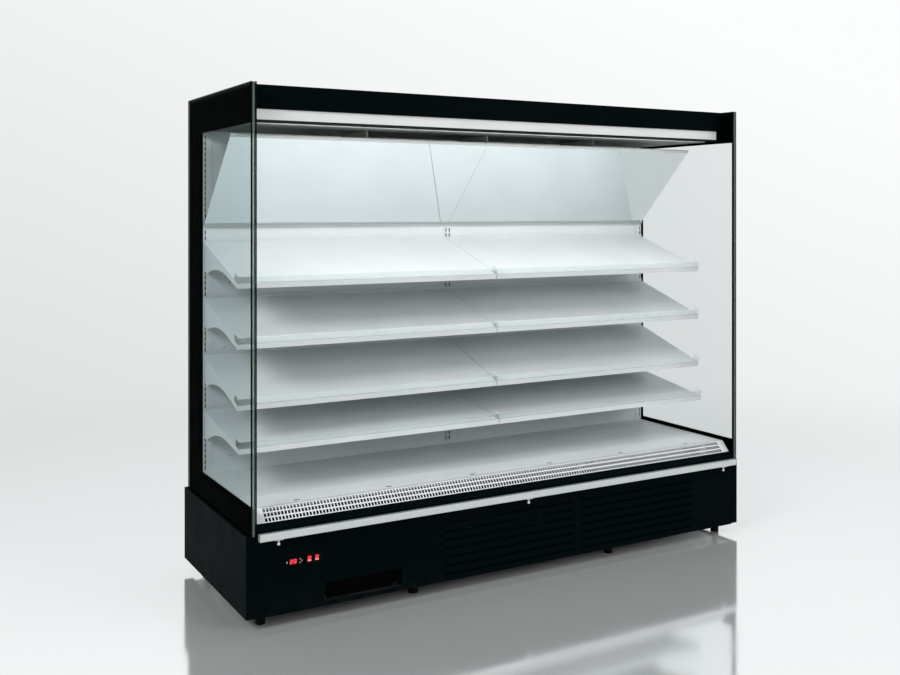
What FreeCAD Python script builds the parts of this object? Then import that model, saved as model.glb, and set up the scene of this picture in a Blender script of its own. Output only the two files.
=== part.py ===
"""Open multideck display fridge, 2.5 m long, with its own condensing unit in the base.

Frame: millimetres, +X to the right along the length, +Y to the back, +Z up. The origin is on
the floor, in the middle of the length and of the depth (bumper front to base side back).
"""
import FreeCAD
import Part
import Sketcher
import math
import os
import re

Vector = FreeCAD.Vector

# ---------------------------------------------------------------- driving dimensions (mm, degrees)

SIZES = {
    # whole cabinet
    "inner_length": 2500,       # between the inner faces of the two end glass units
    "total_height": 2138,       # floor to the top of the glass units and the roof
    "floor_gap": 50,            # floor to the underside of the base
    "sheet": 1.5,               # folded sheet steel of covers and trays
    # end glass units
    "unit_depth": 873,
    "unit_thickness": 25,
    "pane_thickness": 6,
    "spacer_width": 12,
    "border_back": 150,         # black printed bands, from the edge of the glass
    "border_top": 157,
    "border_bottom": 103,
    # base sides
    "base_height": 372,
    "side_proud": 15,           # base side proud of the glass unit's outer face
    "side_setback": 9.5,        # front edge behind the front edge of the glass
    "side_back_proud": 9.5,
    "side_round": 4,
    # machine space
    "floor_flange": 15,         # below the slot of the tray
    "trestle_inset": 15,
    "trestle_flange": 30,
    "trestle_window_depth": 420,
    "trestle_window_height": 110,
    "trestle_window_drop": 45,
    "trestle_end_gap": 20,
    "bay_half": 422,            # middle of the base to the outer side of an inner trestle
    "tub_bottom": 300,
    "tub_floor_thickness": 40,
    "tub_wall": 40,
    "back_inset": 5,            # insulated back behind the line of the glass unit's back edge
    "back_wall": 55,
    "roof_thickness": 40,
    # feet
    "foot_radius": 20,
    "foot_pad": 32,
    "foot_bevel": 2,
    "foot_bevel_width": 2,
    "foot_stem_radius": 8,
    "foot_nut_radius": 12,
    "foot_nut": 12,
    "foot_end_inset": 43,       # outer feet from the inner faces of the end glass
    "foot_inner_spread": 525,
    "foot_front_inset": 85,     # from the front edge of the glass unit
    "foot_back_inset": 70,
    # front covers
    "cover_setback": 6.5,
    "cover_bottom": 48,
    "cover_top": 352,
    "cover_depth": 17.5,
    "cover_gap": 1.5,
    "left_cover_length": 833,
    "louvre_start": 8,          # from the seam between the covers
    "louvre_field_length": 673,
    "louvre_field_gap": 46,
    "louvre_count": 7,
    "louvre_pitch": 36.5,
    "louvre_first": 78,
    "louvre_slit": 20,
    "louvre_reach": 6,
    "louvre_mouth": 3,          # lower edge of a hood above the lower edge of its slit
    "slot_length": 348,
    "slot_height": 72,
    "slot_from_end": 285,
    "slot_bottom": 69,
    "slot_round": 10,
    # bumper and front rail
    "bumper_proud": 30.5,
    "bumper_height": 29,
    "bumper_bottom": 354,
    "bumper_depth": 22,
    "bumper_wall": 2,
    "bumper_end_gap": 3,
    "bumper_round": 4,
    "rail_fall": 16,            # front edge of the rail below its top
    "rail_lip": 24,
    "rail_sheet": 2,
    "hook_end_inset": 82,
    "hook_knob_radius": 6,
    "hook_stem_radius": 3,
    "hook_drop": 18,
    "hook_plate_length": 34,
    "hook_plate_width": 16,
    # return-air grille
    "grille_hem": 27.5,         # hem behind the front edge of the glass
    "grille_hem_depth": 6,
    "grille_rise": 48,          # top of the rail to the deck
    "grille_rise_depth": 44,
    "grille_sheet": 1.2,
    "grille_joint": 0.4,
    "grille_columns": 29,       # slots along one section
    "grille_slot": 9.6,
    "grille_bridge": 6,         # sheet between two rows of slots
    "grille_end_columns": 3,    # columns left out at each end of the deck
    "grille_steep_rows": 3,
    "grille_flat_rows": 2,
    # deck
    "deck_rise": 119,           # tub floor to the top of the deck
    "pan_front": 98,            # front edge of the pans behind the front edge of the glass
    "pan_count": 6,
    "pan_sheet": 1.2,
    "pan_flange": 18,
    "pan_gap": 1,
    "finger_setback": 13.5,
    "finger_length": 30,
    "finger_width": 14,
    "finger_corner": 4,
    "finger_corner_run": 6,
    "rail_section": 20,
    "rail_gap": 4,              # deck rail behind the finger slots
    "rail_post_inset": 70,
    "angle_sheet": 2,
    "rail_end_gap": 2,
    # air duct behind the shelves
    "duct_depth": 91.5,
    "upright_width": 40,
    "upright_sheet": 2,
    "upright_top_gap": 38,
    "upright_slot_height": 18,
    "upright_slot_width": 6,
    "upright_slot_pitch": 25,
    "level_slots": 2,           # slot pitches from one place of a level to the next
    "upright_slot_over": 3,     # top of a slot above the hook line
    "panel_setback": 1.5,
    "panel_sheet": 1.2,
    "panel_gap": 1,
    "panel_slot_length": 12,
    "panel_slot_height": 3,
    "panel_slot_pitch": 50,
    "panel_slot_rows": 10,
    "panel_row_pitch": 98,
    "panel_first_row": 70,
    "panel_side_margin": 30,
    "panel_tab": 30,
    # shelves
    "low_level_rise": 285,      # hook line of the lowest level above the deck
    "top_level_drop": 77,       # least drop of the highest hook line below the mirror
    "slope": 18,                # of the three upper levels
    "low_slope": 9,             # of the lowest level
    "shelf_depth": 500,
    "shelf_sheet": 1.2,
    "shelf_lip": 24,
    "shelf_lip_return": 8,
    "shelf_upstand": 12,
    "shelf_back_gap": 6,
    "shelf_end_gap": 3,
    "bracket_thickness": 3,
    "bracket_inset": 8,
    "bracket_setback": 9,
    "bracket_height": 122,
    "bracket_nose": 28,
    "bracket_waist": 360,
    "bracket_curve": 480,
    "bracket_heel": 30,
    "bracket_step": 2,
    "hook_gap": 0.3,
    "hook_length": 9,
    "hook_height": 10,
    "riser_height": 28,
    "riser_thickness": 3,
    "riser_return": 45,
    "riser_seat": 0.5,          # depth of the seat pressed into the pan for the riser
    "riser_play": 0.3,
    # mirror and canopy
    "mirror_front": 326.5,      # top edge of the mirror behind the front edge of the glass
    "mirror_drop": 40,          # top edge of the mirror below the canopy's underside
    "mirror_rise": 381,
    "mirror_end_gap": 1,
    "mirror_back_gap": 4,
    "mirror_thickness": 5,
    "mirror_joint": 1,
    "channel_lip": 12,
    "channel_wall": 2,
    "ledge_height": 16,
    "ledge_depth": 14,
    "ledge_sheet": 2,
    "fascia_setback": 81.5,
    "fascia_height": 96,
    "fascia_sheet": 2,
    "light_setback": 10,
    "light_height": 42,
    "light_depth": 14,
    "light_wall": 2,
    "light_end_gap": 30,
    "light_cap": 4,
    "light_cap_proud": 1,
    "diffuser_thickness": 3,
    "diffuser_setback": 1,
    "diffuser_end_gap": 2,
    "comb_depth": 95,
    "comb_drop": 4,             # honeycomb below the light strip
    "comb_thickness": 24,
    "comb_cell": 30,
    "comb_wall": 2,
    "comb_joint": 1,
    "underside_drop": 4,        # front edge of the underside below the honeycomb
    "underside_flange": 20,     # turned up along its back edge
    "underside_gap": 0.5,       # in front of the uprights
    "underside_sheet": 2,
    "brace_sheet": 3,
    "brace_depth": 300,         # behind the mirror's top edge
    "brace_gap": 0.3,
    # evaporator section, under the deck
    "fan_plate_gap": 104,       # in front of the coil
    "fan_plate_end_gap": 2,
    "cold_fan_radius": 48,
    "fan_tip_gap": 2.5,
    "hub_share": 0.34,
    "blade_count": 5,
    "blade_depth": 16,
    "blade_thickness": 2,
    "blade_root_pitch": 48,
    "blade_tip_pitch": 24,
    "blade_share": 0.72,
    "hub_wall": 4,
    "shaft_radius": 3,
    "shaft_play": 0.05,
    "shaft_end_gap": 1,
    "motor_radius": 30,
    "motor_length": 42,
    "bridge_width": 14,
    "bridge_height": 20,
    "bridge_margin": 12,
    "bridge_foot": 10,
    "coil_end_gap": 170,
    "coil_depth": 200,
    "coil_height": 95,
    "coil_back_gap": 51.5,      # in front of the hook line
    "coil_lift": 6,
    "coil_plate": 3,
    "coil_plate_proud": 8,
    "coil_groove_count": 22,
    "coil_groove": 6,
    "coil_groove_inset": 30,
    "coil_groove_depth": 20,
    "liquid_place": 60,         # pipe entries behind the front of the coil
    "suction_place": 120,
    # condensing unit
    "condenser_gap": 20,        # beside the left inner trestle
    "condenser_length": 600,
    "condenser_height": 200,
    "condenser_thickness": 56,
    "condenser_groove_count": 24,
    "condenser_groove": 5,
    "condenser_groove_inset": 14,
    "condenser_groove_depth": 12,
    "condenser_groove_margin": 8,
    "condenser_place": 40,      # front of the condenser behind the front edge of the glass
    "shroud_depth": 30,
    "warm_fan_radius": 88,
    "compressor_gap": 62,       # beside the right inner trestle
    "compressor_place": 460,
    "compressor_radius": 88,
    "compressor_height": 190,
    "compressor_foot": 12,
    "compressor_foot_radius": 11,
    "compressor_foot_offset": 62,
    "compressor_plate": 4,
    "compressor_plate_margin": 12,
    "compressor_plate_half": 75,
    "shell_base_radius": 60,
    "shell_base_rise": 25,
    "shell_shoulder": 45,
    "pipe_radius": 5,
    "pipe_bend": 30,
    "pipe_rise_gap": 85,        # risers beside the end of the coil
    "pipe_clearance": 0.3,
    "shell_stub": 50,
    "condenser_stub": 60,
    "gas_line_drop": 110,       # below the tub
    "liquid_line_height": 78,
    "liquid_run_drop": 30,      # from the edges of the trestle windows
    "liquid_run_inset": 22,
    "suction_run_rise": 20,
    "coil_entry_height": 50,
    # condensate tray
    "tray_play": 4,
    "tray_length": 400,
    "tray_wall": 2,
    "tray_setback": 24,
    "tray_overhang": 8,         # front of the tray ahead of its runners
    "grip_width": 100,
    "grip_reach": 14,
    "grip_thickness": 3,
    "runner_width": 20,
    "runner_gap": 0.3,
    # electrical box, gland, rear cover
    "electric_length": 200,
    "electric_depth": 180,
    "electric_height": 150,
    "electric_gap": 8,          # beside the left trestle
    "electric_place": 300,
    "lid_proud": 3,
    "lid_height": 8,
    "gland_bore": 5,
    "gland_thread": 10,
    "gland_flange": 15,
    "gland_reach": 16,
    "gland_inside": 12,
    "gland_step": 7,
    "gland_play": 0.3,
    "gland_from_end": 350,
    "gland_height": 180,
    "rear_cover_inset": 26,
    "rear_slit_length": 800,
    "rear_slit_height": 8,
    "rear_slit_first": 110,
    "rear_slit_pitch": 22,
    "rear_slit_count": 7,
    # controller and switches
    "controller_from_end": 156.5,
    "controller_height": 249.5,
    "bezel_length": 75,
    "bezel_height": 35,
    "bezel_proud": 4,
    "controller_depth": 60,
    "case_inset": 3,            # cut-outs of the cover inside the bezel and the switch frame
    "case_play": 0.5,
    "window_length": 34,
    "window_height": 20,
    "window_depth": 1,
    "window_offset": 6,
    "key_radius": 3,
    "key_across": 22,
    "key_step": 8,
    "key_pitch": 7,
    "key_proud": 1.2,
    "key_travel": 0.8,
    "key_end_gap": 0.2,
    "key_play": 0.3,
    "switch_offset": 78.5,      # beside the controller
    "switch_height": 251,
    "switch_pitch": 32,
    "switch_frame_length": 67,
    "switch_frame_height": 46,
    "switch_proud": 3,
    "switch_depth": 22,
    "switch_well": 19,
    "rocker_width": 15,
    "rocker_half": 10.2,
    "rocker_window_half": 13.2,
    "rocker_tilt": 8,
    "rocker_play": 0.3,
    "rocker_depth": 7,          # either side of its pivot
    "rocker_hollow": 2.5,
    "rocker_root": 4,
    "rocker_pivot": 5,
}

# Places worked out from the sizes. Depths called "setback" or "place" count from the front
# edge of the glass units.
PLACES = {
    "half_length": "inner_length / 2",
    "unit_outer": "half_length + unit_thickness",
    "overall_depth": "bumper_proud + unit_depth + side_back_proud",
    "unit_front": "bumper_proud - overall_depth / 2",
    "unit_back": "unit_front + unit_depth",
    "side_front": "unit_front + side_setback",
    "side_back": "unit_back + side_back_proud",
    "cover_front": "unit_front + cover_setback",
    "tub_front": "cover_front + cover_depth",
    "tub_inside": "tub_front + tub_wall",
    "tub_floor": "tub_bottom + tub_floor_thickness",
    "deck_height": "tub_floor + deck_rise",
    "rail_top": "deck_height - grille_rise",
    "rail_step": "rail_top - rail_fall",
    "tub_wall_top": "rail_top - rail_sheet",
    "back_outer": "unit_back - back_inset",
    "back_inner": "back_outer - back_wall",
    "hook_line": "back_inner - duct_depth",
    "roof_bottom": "total_height - roof_thickness",
    "base_top": "floor_gap + sheet",
    "window_front": "(tub_front + rear_cover - trestle_window_depth) / 2",
    "window_top": "tub_bottom - trestle_window_drop",
    "window_low": "window_top - trestle_window_height",
    "quarter_length": "inner_length / 4",
    "seam": "left_cover_length - half_length",
    "foot_outer_spread": "half_length - foot_end_inset",
    "hook_spread": "half_length - hook_end_inset",
    "rail_post_spread": "half_length - rail_post_inset",
    "bumper_front": "unit_front - bumper_proud",
    "rail_front": "bumper_front + bumper_depth",
    "bumper_top": "bumper_bottom + bumper_height",
    "deck_under": "deck_height - pan_sheet",
    "pan_start": "unit_front + pan_front",
    "pan_length": "inner_length / pan_count",
    "finger_front": "pan_start + finger_setback",
    "low_level": "deck_height + low_level_rise",
    "level_room": "mirror_bottom - top_level_drop - low_level",
    "level_steps": "floor(level_room / (3 * level_slots * upright_slot_pitch) + 0.001)",
    "level_pitch": "level_steps * level_slots * upright_slot_pitch",
    "slots_below": "floor((low_level_rise - upright_slot_height) / upright_slot_pitch)",
    "first_slot": "low_level - slots_below * upright_slot_pitch + upright_slot_over - upright_slot_height",
    "slot_room": "underside_front - upright_slot_height - first_slot",
    "upright_slot_count": "floor(slot_room / upright_slot_pitch) + 1",
    "upright_top": "roof_bottom - upright_top_gap",
    "fascia_front": "unit_front + fascia_setback",
    "fascia_bottom": "total_height - fascia_height",
    "light_front": "fascia_front + light_setback",
    "light_back": "light_front + light_depth",
    "light_bottom": "fascia_bottom - light_height",
    "light_end": "half_length - light_end_gap",
    "comb_back": "light_back + comb_depth",
    "comb_bottom": "light_bottom - comb_drop",
    "comb_top": "comb_bottom + comb_thickness",
    "underside_front": "comb_bottom - underside_drop",
    "underside_back": "hook_line - underside_gap",
    "panel_top": "underside_front + underside_flange",
    "mirror_top": "underside_front - mirror_drop",
    "mirror_bottom": "mirror_top - mirror_rise",
    "mirror_edge": "unit_front + mirror_front",
    "mirror_run": "hook_line - mirror_back_gap - mirror_edge",
    "mirror_length": "sqrt(mirror_run ^ 2 + mirror_rise ^ 2)",
    "slot_left": "slot_from_end - half_length",
    "slot_middle": "slot_left + slot_length / 2",
    "coil_front": "hook_line - coil_back_gap - coil_depth",
    "coil_half_length": "half_length - coil_end_gap",
    "coil_liquid": "coil_front + liquid_place",
    "coil_suction": "coil_front + suction_place",
    "pipe_rise": "coil_half_length + pipe_rise_gap",
    "fan_plate": "coil_front - fan_plate_gap",
    "cold_fan_height": "(tub_floor + deck_under) / 2",
    "condenser_left": "condenser_gap + trestle_flange - bay_half",
    "condenser_centre": "condenser_left + condenser_length / 2",
    "condenser_right": "condenser_left + condenser_length",
    "warm_fan_spread": "condenser_length / 4",
    "condenser_front": "unit_front + condenser_place",
    "condenser_back": "condenser_front + condenser_thickness",
    "shroud_back": "condenser_back + shroud_depth",
    "warm_fan_height": "base_top + condenser_height / 2",
    "compressor_side": "compressor_radius + compressor_plate_margin",
    "compressor_across": "bay_half - trestle_flange - compressor_gap - compressor_side",
    "compressor_middle": "unit_front + compressor_place",
    "rear_cover": "unit_back - rear_cover_inset",
    "gland_across": "half_length - gland_from_end",
    "tray_front": "tub_front + tray_setback",
    "runner_front": "tray_front + tray_overhang",
    "controller_across": "controller_from_end - half_length",
    "controller_face": "cover_front - bezel_proud",
    "switch_across": "controller_across + switch_offset",
    "switch_face": "cover_front - switch_proud",
}

SHEET_NAME = "Sizes"
WORD = re.compile(r"[a-z][a-z_]*")


def formula(text):
    """Spell a formula out in sheet cells, for setExpression."""
    def spell(match):
        word = match.group(0)
        if word in SIZES:
            return SHEET_NAME + "." + word
        if word in PLACES:
            return "(" + formula(PLACES[word]) + ")"
        return word
    return WORD.sub(spell, str(text))


def value(text):
    """The number that a formula gives with the sheet's present sizes."""
    return float(sheet.evalExpression(formula(text)))


# ---------------------------------------------------------------- helpers

doc = FreeCAD.newDocument("DisplayFridge")
sheet = doc.addObject("Spreadsheet::Sheet", SHEET_NAME)
for row, (alias, number) in enumerate(SIZES.items(), start=1):
    sheet.set("A%d" % row, alias)
    sheet.set("B%d" % row, str(number))
    sheet.setAlias("B%d" % row, alias)
doc.recompute()

subparts = []


def keep(piece, label):
    """Name a finished sub-part and list it for export."""
    piece.Label = label
    subparts.append(piece)
    return piece


def bare_body(name):
    """A body that is only one solid of a grouped sub-part."""
    return doc.addObject("PartDesign::Body", name + "_body")


def new_body(label):
    return keep(bare_body(label), label)


def origin_part(body, role):
    return [part for part in body.Origin.OriginFeatures if part.Role == role][0]


def lay_sketch(body, name, role, offset="0"):
    """An empty sketch on an origin plane of the body, moved along that plane's normal."""
    sketch = body.newObject("Sketcher::SketchObject", name)
    sketch.AttachmentSupport = [(origin_part(body, role), "")]
    sketch.MapMode = "FlatFace"
    sketch.setExpression("AttachmentOffset.Base.z", formula(offset))
    return sketch


def bind_point(sketch, geometry, point, across, up):
    """Hold one sketch point at two formulas, counted from the sketch origin."""
    for kind, text in (("DistanceX", across), ("DistanceY", up)):
        index = sketch.addConstraint(
            Sketcher.Constraint(kind, -1, 1, geometry, point, value(text)))
        sketch.setExpression("Constraints[%d]" % index, formula(text))


def bind_radius(sketch, geometry, radius):
    index = sketch.addConstraint(Sketcher.Constraint("Radius", geometry, value(radius)))
    sketch.setExpression("Constraints[%d]" % index, formula(radius))


def arc_under(start, finish, radius):
    """Arc between two points whose centre lies below them."""
    chord = finish - start
    across = Vector(-chord.y, chord.x, 0).normalize()
    if across.y > 0:
        across = across * -1
    centre = (start + finish) * 0.5 + across * math.sqrt(radius ** 2 - chord.Length ** 2 / 4)
    first = math.atan2(start.y - centre.y, start.x - centre.x)
    last = math.atan2(finish.y - centre.y, finish.x - centre.x)
    return Part.ArcOfCircle(Part.Circle(centre, Vector(0, 0, 1), radius), first, last)


def add_outline(sketch, points, arc_edge=None, arc_radius="0"):
    """A closed outline of straight edges, one of which may be an arc. Each corner is bound to
    its formulas, and so is the arc's radius."""
    first = sketch.GeometryCount
    corners = [Vector(value(across), value(up), 0) for across, up in points]
    count = len(points)
    for index in range(count):
        start = corners[index]
        finish = corners[(index + 1) % count]
        edge = Part.LineSegment(start, finish)
        if index == arc_edge:
            edge = arc_under(start, finish, value(arc_radius))
        sketch.addGeometry(edge, False)
    for index in range(count):
        following = first + (index + 1) % count
        sketch.addConstraint(Sketcher.Constraint("Coincident", first + index, 2, following, 1))
    for index, (across, up) in enumerate(points):
        bind_point(sketch, first + index, 1, across, up)
    if arc_edge is not None:
        bind_radius(sketch, first + arc_edge, arc_radius)


def add_circle(sketch, across, up, radius):
    centre = Vector(value(across), value(up), 0)
    index = sketch.addGeometry(Part.Circle(centre, Vector(0, 0, 1), value(radius)), False)
    bind_point(sketch, index, 3, across, up)
    bind_radius(sketch, index, radius)


def rectangle(left, right, low, high):
    return [(left, low), (right, low), (right, high), (left, high)]


def centred(across, half_width, up, half_height):
    """A rectangle around a middle."""
    return rectangle("%s - (%s)" % (across, half_width), "%s + (%s)" % (across, half_width),
                     "%s - (%s)" % (up, half_height), "%s + (%s)" % (up, half_height))


def pad(body, sketch, length, symmetric=False, backwards=False):
    feature = body.newObject("PartDesign::Pad", sketch.Name + "_pad")
    feature.Profile = sketch
    feature.setExpression("Length", formula(length))
    feature.SideType = "Symmetric" if symmetric else "One side"
    feature.Reversed = backwards
    return feature


def pocket(body, sketch, length, symmetric=False, backwards=False):
    """Cut the sketch out of the body, and make sure that it does cut something."""
    doc.recompute()
    before = body.Shape.Volume
    feature = body.newObject("PartDesign::Pocket", sketch.Name + "_pocket")
    feature.Profile = sketch
    feature.setExpression("Length", formula(length))
    feature.SideType = "Symmetric" if symmetric else "One side"
    feature.Reversed = backwards
    doc.recompute()
    if body.Shape.Volume >= before:
        raise RuntimeError(body.Label + ": a pocket cuts nothing")
    return feature


def repeat(body, features, steps):
    """Repeat features by lines of copies and by mirrors: ("line", axis, length, count) ..."""
    multi = body.newObject("PartDesign::MultiTransform", features[0].Name + "_repeat")
    multi.Originals = features
    transforms = []
    for step in steps:
        if step[0] == "mirror":
            part = body.newObject("PartDesign::Mirrored", features[0].Name + "_mirror")
            part.MirrorPlane = (origin_part(body, step[1]), [""])
        else:
            part = body.newObject("PartDesign::LinearPattern", features[0].Name + "_line")
            part.Direction = (origin_part(body, step[1]), [""])
            part.setExpression("Length", formula(step[2]))
            part.setExpression("Occurrences", formula(step[3]))
        transforms.append(part)
    multi.Transformations = transforms
    body.Tip = multi
    return multi


def fillet(body, base, radius, choose):
    """Round the edges of the feature that a test of the edge picks out."""
    doc.recompute()
    names = ["Edge%d" % (index + 1) for index, edge in enumerate(base.Shape.Edges) if choose(edge)]
    feature = body.newObject("PartDesign::Fillet", base.Name + "_fillet")
    feature.Base = (base, names)
    feature.setExpression("Radius", formula(radius))
    return feature


def runs_along(edge, axis):
    """Is this a straight edge along an axis (0, 1 or 2)?"""
    if len(edge.Vertexes) != 2:
        return False
    step = edge.Vertexes[1].Point - edge.Vertexes[0].Point
    return abs(abs(step[axis]) - step.Length) < 1e-6


def bare_profile(name, points, length="inner_length"):
    """A body that is one cross-section, padded to both sides of the middle."""
    body = bare_body(name)
    sketch = lay_sketch(body, name + "_profile", "YZ_Plane")
    add_outline(sketch, points)
    pad(body, sketch, length, symmetric=True)
    return body


def profile_body(label, points, length="inner_length"):
    return keep(bare_profile(label, points, length), label)


def box(name, left, right, front, back, low, high):
    """A box between named places."""
    piece = doc.addObject("Part::Box", name)
    piece.setExpression("Length", formula("(%s) - (%s)" % (right, left)))
    piece.setExpression("Width", formula("(%s) - (%s)" % (back, front)))
    piece.setExpression("Height", formula("(%s) - (%s)" % (high, low)))
    for axis, text in (("x", left), ("y", front), ("z", low)):
        piece.setExpression("Placement.Base." + axis, formula(text))
    return piece


def group(label, pieces):
    """Several separate solids that share one node."""
    compound = doc.addObject("Part::Compound", label + "_group")
    compound.Links = pieces
    return keep(compound, label)


def feature(label, shape, placement=None):
    piece = doc.addObject("Part::Feature", label + "_shape")
    piece.Shape = shape
    if placement is not None:
        piece.Placement = placement
    return keep(piece, label)


def plate_with_holes(outer, holes, thickness):
    """A flat plate in the XY plane with many straight holes, all cut in one step."""
    rings = [outer] + [ring[::-1] for ring in holes]
    wires = [Part.makePolygon([Vector(x, y, 0) for x, y in ring + ring[:1]]) for ring in rings]
    return Part.Face(wires).extrude(Vector(0, 0, thickness))


def ring_of(left, right, low, high):
    """The four corners of a rectangle, as numbers."""
    return [(left, low), (right, low), (right, high), (left, high)]


# ---------------------------------------------------------------- base

def build_base_sides():
    """Folded side covers of the base, open towards the machine space."""
    sides = []
    for side, sign in (("left", "-"), ("right", "")):
        body = bare_body("base_side_" + side)
        sketch = lay_sketch(body, "side_" + side, "XY_Plane", "floor_gap")
        inner = sign + "half_length"
        outer = sign + "(unit_outer + side_proud)"
        add_outline(sketch, rectangle(inner, outer, "side_front", "side_back"))
        panel = pad(body, sketch, "base_height - floor_gap")
        reach = value("unit_outer + side_proud")

        def outer_upright(edge):
            return runs_along(edge, 2) and abs(abs(edge.Vertexes[0].X) - reach) < 1e-3

        fillet(body, panel, "side_round", outer_upright)
        hollow = lay_sketch(body, "side_hollow_" + side, "YZ_Plane", inner)
        add_outline(hollow, rectangle("side_front + sheet", "side_back - sheet",
                                      "floor_gap + sheet", "base_height - sheet"))
        pocket(body, hollow, "unit_thickness + side_proud - sheet", backwards=side == "right")
        sides.append(body)
    group("base_sides", sides)


def build_base_floor():
    """Folded floor of the machine space, with two pressed runners for the condensate tray."""
    front = "tub_front"
    back = "rear_cover"
    top = "floor_gap + floor_flange"
    body = bare_profile("base_floor", [
        (front, "floor_gap"), (back, "floor_gap"), (back, top), (back + " - sheet", top),
        (back + " - sheet", "base_top"), (front + " + sheet", "base_top"),
        (front + " + sheet", top), (front, top)])
    sketch = lay_sketch(body, "runners", "XY_Plane", "base_top")
    for edge in ("slot_left + tray_play", "slot_left + slot_length - tray_play - runner_width"):
        add_outline(sketch, rectangle(
            edge, edge + " + runner_width", "runner_front", "tray_front + tray_length"))
    pad(body, sketch, "slot_bottom + tray_play - runner_gap - base_top")
    return body


def build_trestles():
    """Four folded cross plates that carry the insulated tub over the machine space."""
    body = bare_body("base_trestles")
    front = "tub_front + trestle_end_gap"
    back = "rear_cover - trestle_end_gap"
    sketch = lay_sketch(body, "trestles", "XY_Plane", "base_top")
    for web in ("trestle_inset - half_length", "-bay_half", "bay_half - trestle_flange",
                "half_length - trestle_inset - trestle_flange"):
        flange = web + " + trestle_flange"
        add_outline(sketch, [
            (web, front), (flange, front), (flange, front + " + sheet"),
            (web + " + sheet", front + " + sheet"), (web + " + sheet", back + " - sheet"),
            (flange, back + " - sheet"), (flange, back), (web, back)])
    pad(body, sketch, "tub_bottom - base_top")
    window = lay_sketch(body, "trestle_windows", "YZ_Plane")
    add_outline(window, rectangle("window_front", "window_front + trestle_window_depth",
                                  "window_low", "window_top"))
    pocket(body, window, "inner_length", symmetric=True)
    return body


def build_feet():
    body = new_body("levelling_feet")
    sketch = lay_sketch(body, "foot_section", "XZ_Plane", "0 - (unit_front + foot_front_inset)")
    feet = []
    for name, spread in (("outer", "foot_outer_spread"), ("inner", "foot_inner_spread")):
        if name == "inner":
            sketch = lay_sketch(body, "foot_inner", "XZ_Plane", "0 - (unit_front + foot_front_inset)")
        add_outline(sketch, [
            (spread, "0"), (spread + " + foot_radius", "0"),
            (spread + " + foot_radius", "foot_pad - foot_bevel"),
            (spread + " + foot_radius - foot_bevel_width", "foot_pad"),
            (spread + " + foot_stem_radius", "foot_pad + foot_bevel"),
            (spread + " + foot_stem_radius", "floor_gap - foot_nut"),
            (spread + " + foot_nut_radius", "floor_gap - foot_nut"),
            (spread + " + foot_nut_radius", "floor_gap"), (spread, "floor_gap")])
        foot = body.newObject("PartDesign::Revolution", "foot_" + name)
        foot.Profile = sketch
        foot.ReferenceAxis = (sketch, ["Edge9"])
        foot.Angle = 360
        feet.append(foot)
    doc.recompute()
    repeat(body, feet, [
        ("mirror", "YZ_Plane"),
        ("line", "Y_Axis", "unit_depth - foot_front_inset - foot_back_inset", "2")])


def build_rear_cover():
    """Cover of the machine space at the back, with air slits and the hole for the cable gland."""
    body = new_body("base_rear_cover")
    sketch = lay_sketch(body, "rear_sheet", "XZ_Plane", "0 - rear_cover")
    add_outline(sketch, rectangle("-half_length", "half_length", "floor_gap", "tub_bottom"))
    add_circle(sketch, "gland_across", "gland_height", "gland_thread + gland_play")
    pad(body, sketch, "sheet", backwards=True)
    slits = lay_sketch(body, "rear_slits", "XZ_Plane", "0 - rear_cover")
    add_outline(slits, rectangle("-rear_slit_length / 2", "rear_slit_length / 2",
                                 "rear_slit_first", "rear_slit_first + rear_slit_height"))
    slit = pocket(body, slits, "sheet * 4", symmetric=True)
    repeat(body, [slit], [("line", "Z_Axis", "(rear_slit_count - 1) * rear_slit_pitch", "rear_slit_count")])


def build_gland():
    """Screwed cable gland: the only trace of the supply lead."""
    body = new_body("cable_gland")
    sketch = lay_sketch(body, "gland_section", "XY_Plane", "gland_height")
    bore = "gland_across + gland_bore"
    thread = "gland_across + gland_thread"
    flange = "gland_across + gland_flange"
    inner = "rear_cover"
    outer = "rear_cover + sheet"
    add_outline(sketch, [
        (bore, inner + " - gland_inside"), (flange, inner + " - gland_inside"), (flange, inner),
        (thread, inner), (thread, outer), (flange, outer), (flange, outer + " + gland_step"),
        (thread, outer + " + gland_reach"), (bore, outer + " + gland_reach")])
    axis = sketch.addGeometry(Part.LineSegment(
        Vector(value("gland_across"), 0, 0), Vector(value("gland_across"), value(inner), 0)), True)
    bind_point(sketch, axis, 1, "gland_across", "0")
    bind_point(sketch, axis, 2, "gland_across", inner)
    turn = body.newObject("PartDesign::Revolution", "gland")
    turn.Profile = sketch
    turn.ReferenceAxis = (sketch, ["Axis0"])
    turn.Angle = 360


# ---------------------------------------------------------------- insulated body and glass

def build_insulation():
    tub = profile_body("insulated_tub", [
        ("tub_front", "tub_bottom"), ("back_outer", "tub_bottom"), ("back_outer", "tub_floor"),
        ("tub_inside", "tub_floor"), ("tub_inside", "tub_wall_top"), ("tub_front", "tub_wall_top")])
    passages = lay_sketch(tub, "pipe_passages", "XY_Plane", "tub_floor")
    for place in ("coil_liquid", "coil_suction"):
        add_circle(passages, "pipe_rise", place, "pipe_radius + pipe_clearance")
    pocket(tub, passages, "tub_floor_thickness")
    keep(box("back_box", "-half_length", "half_length", "back_inner", "back_outer",
             "tub_floor", "roof_bottom"), "insulated_back")
    keep(box("roof_box", "-half_length", "half_length", "fascia_front + fascia_sheet", "back_outer",
             "roof_bottom", "total_height"), "insulated_roof")


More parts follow.
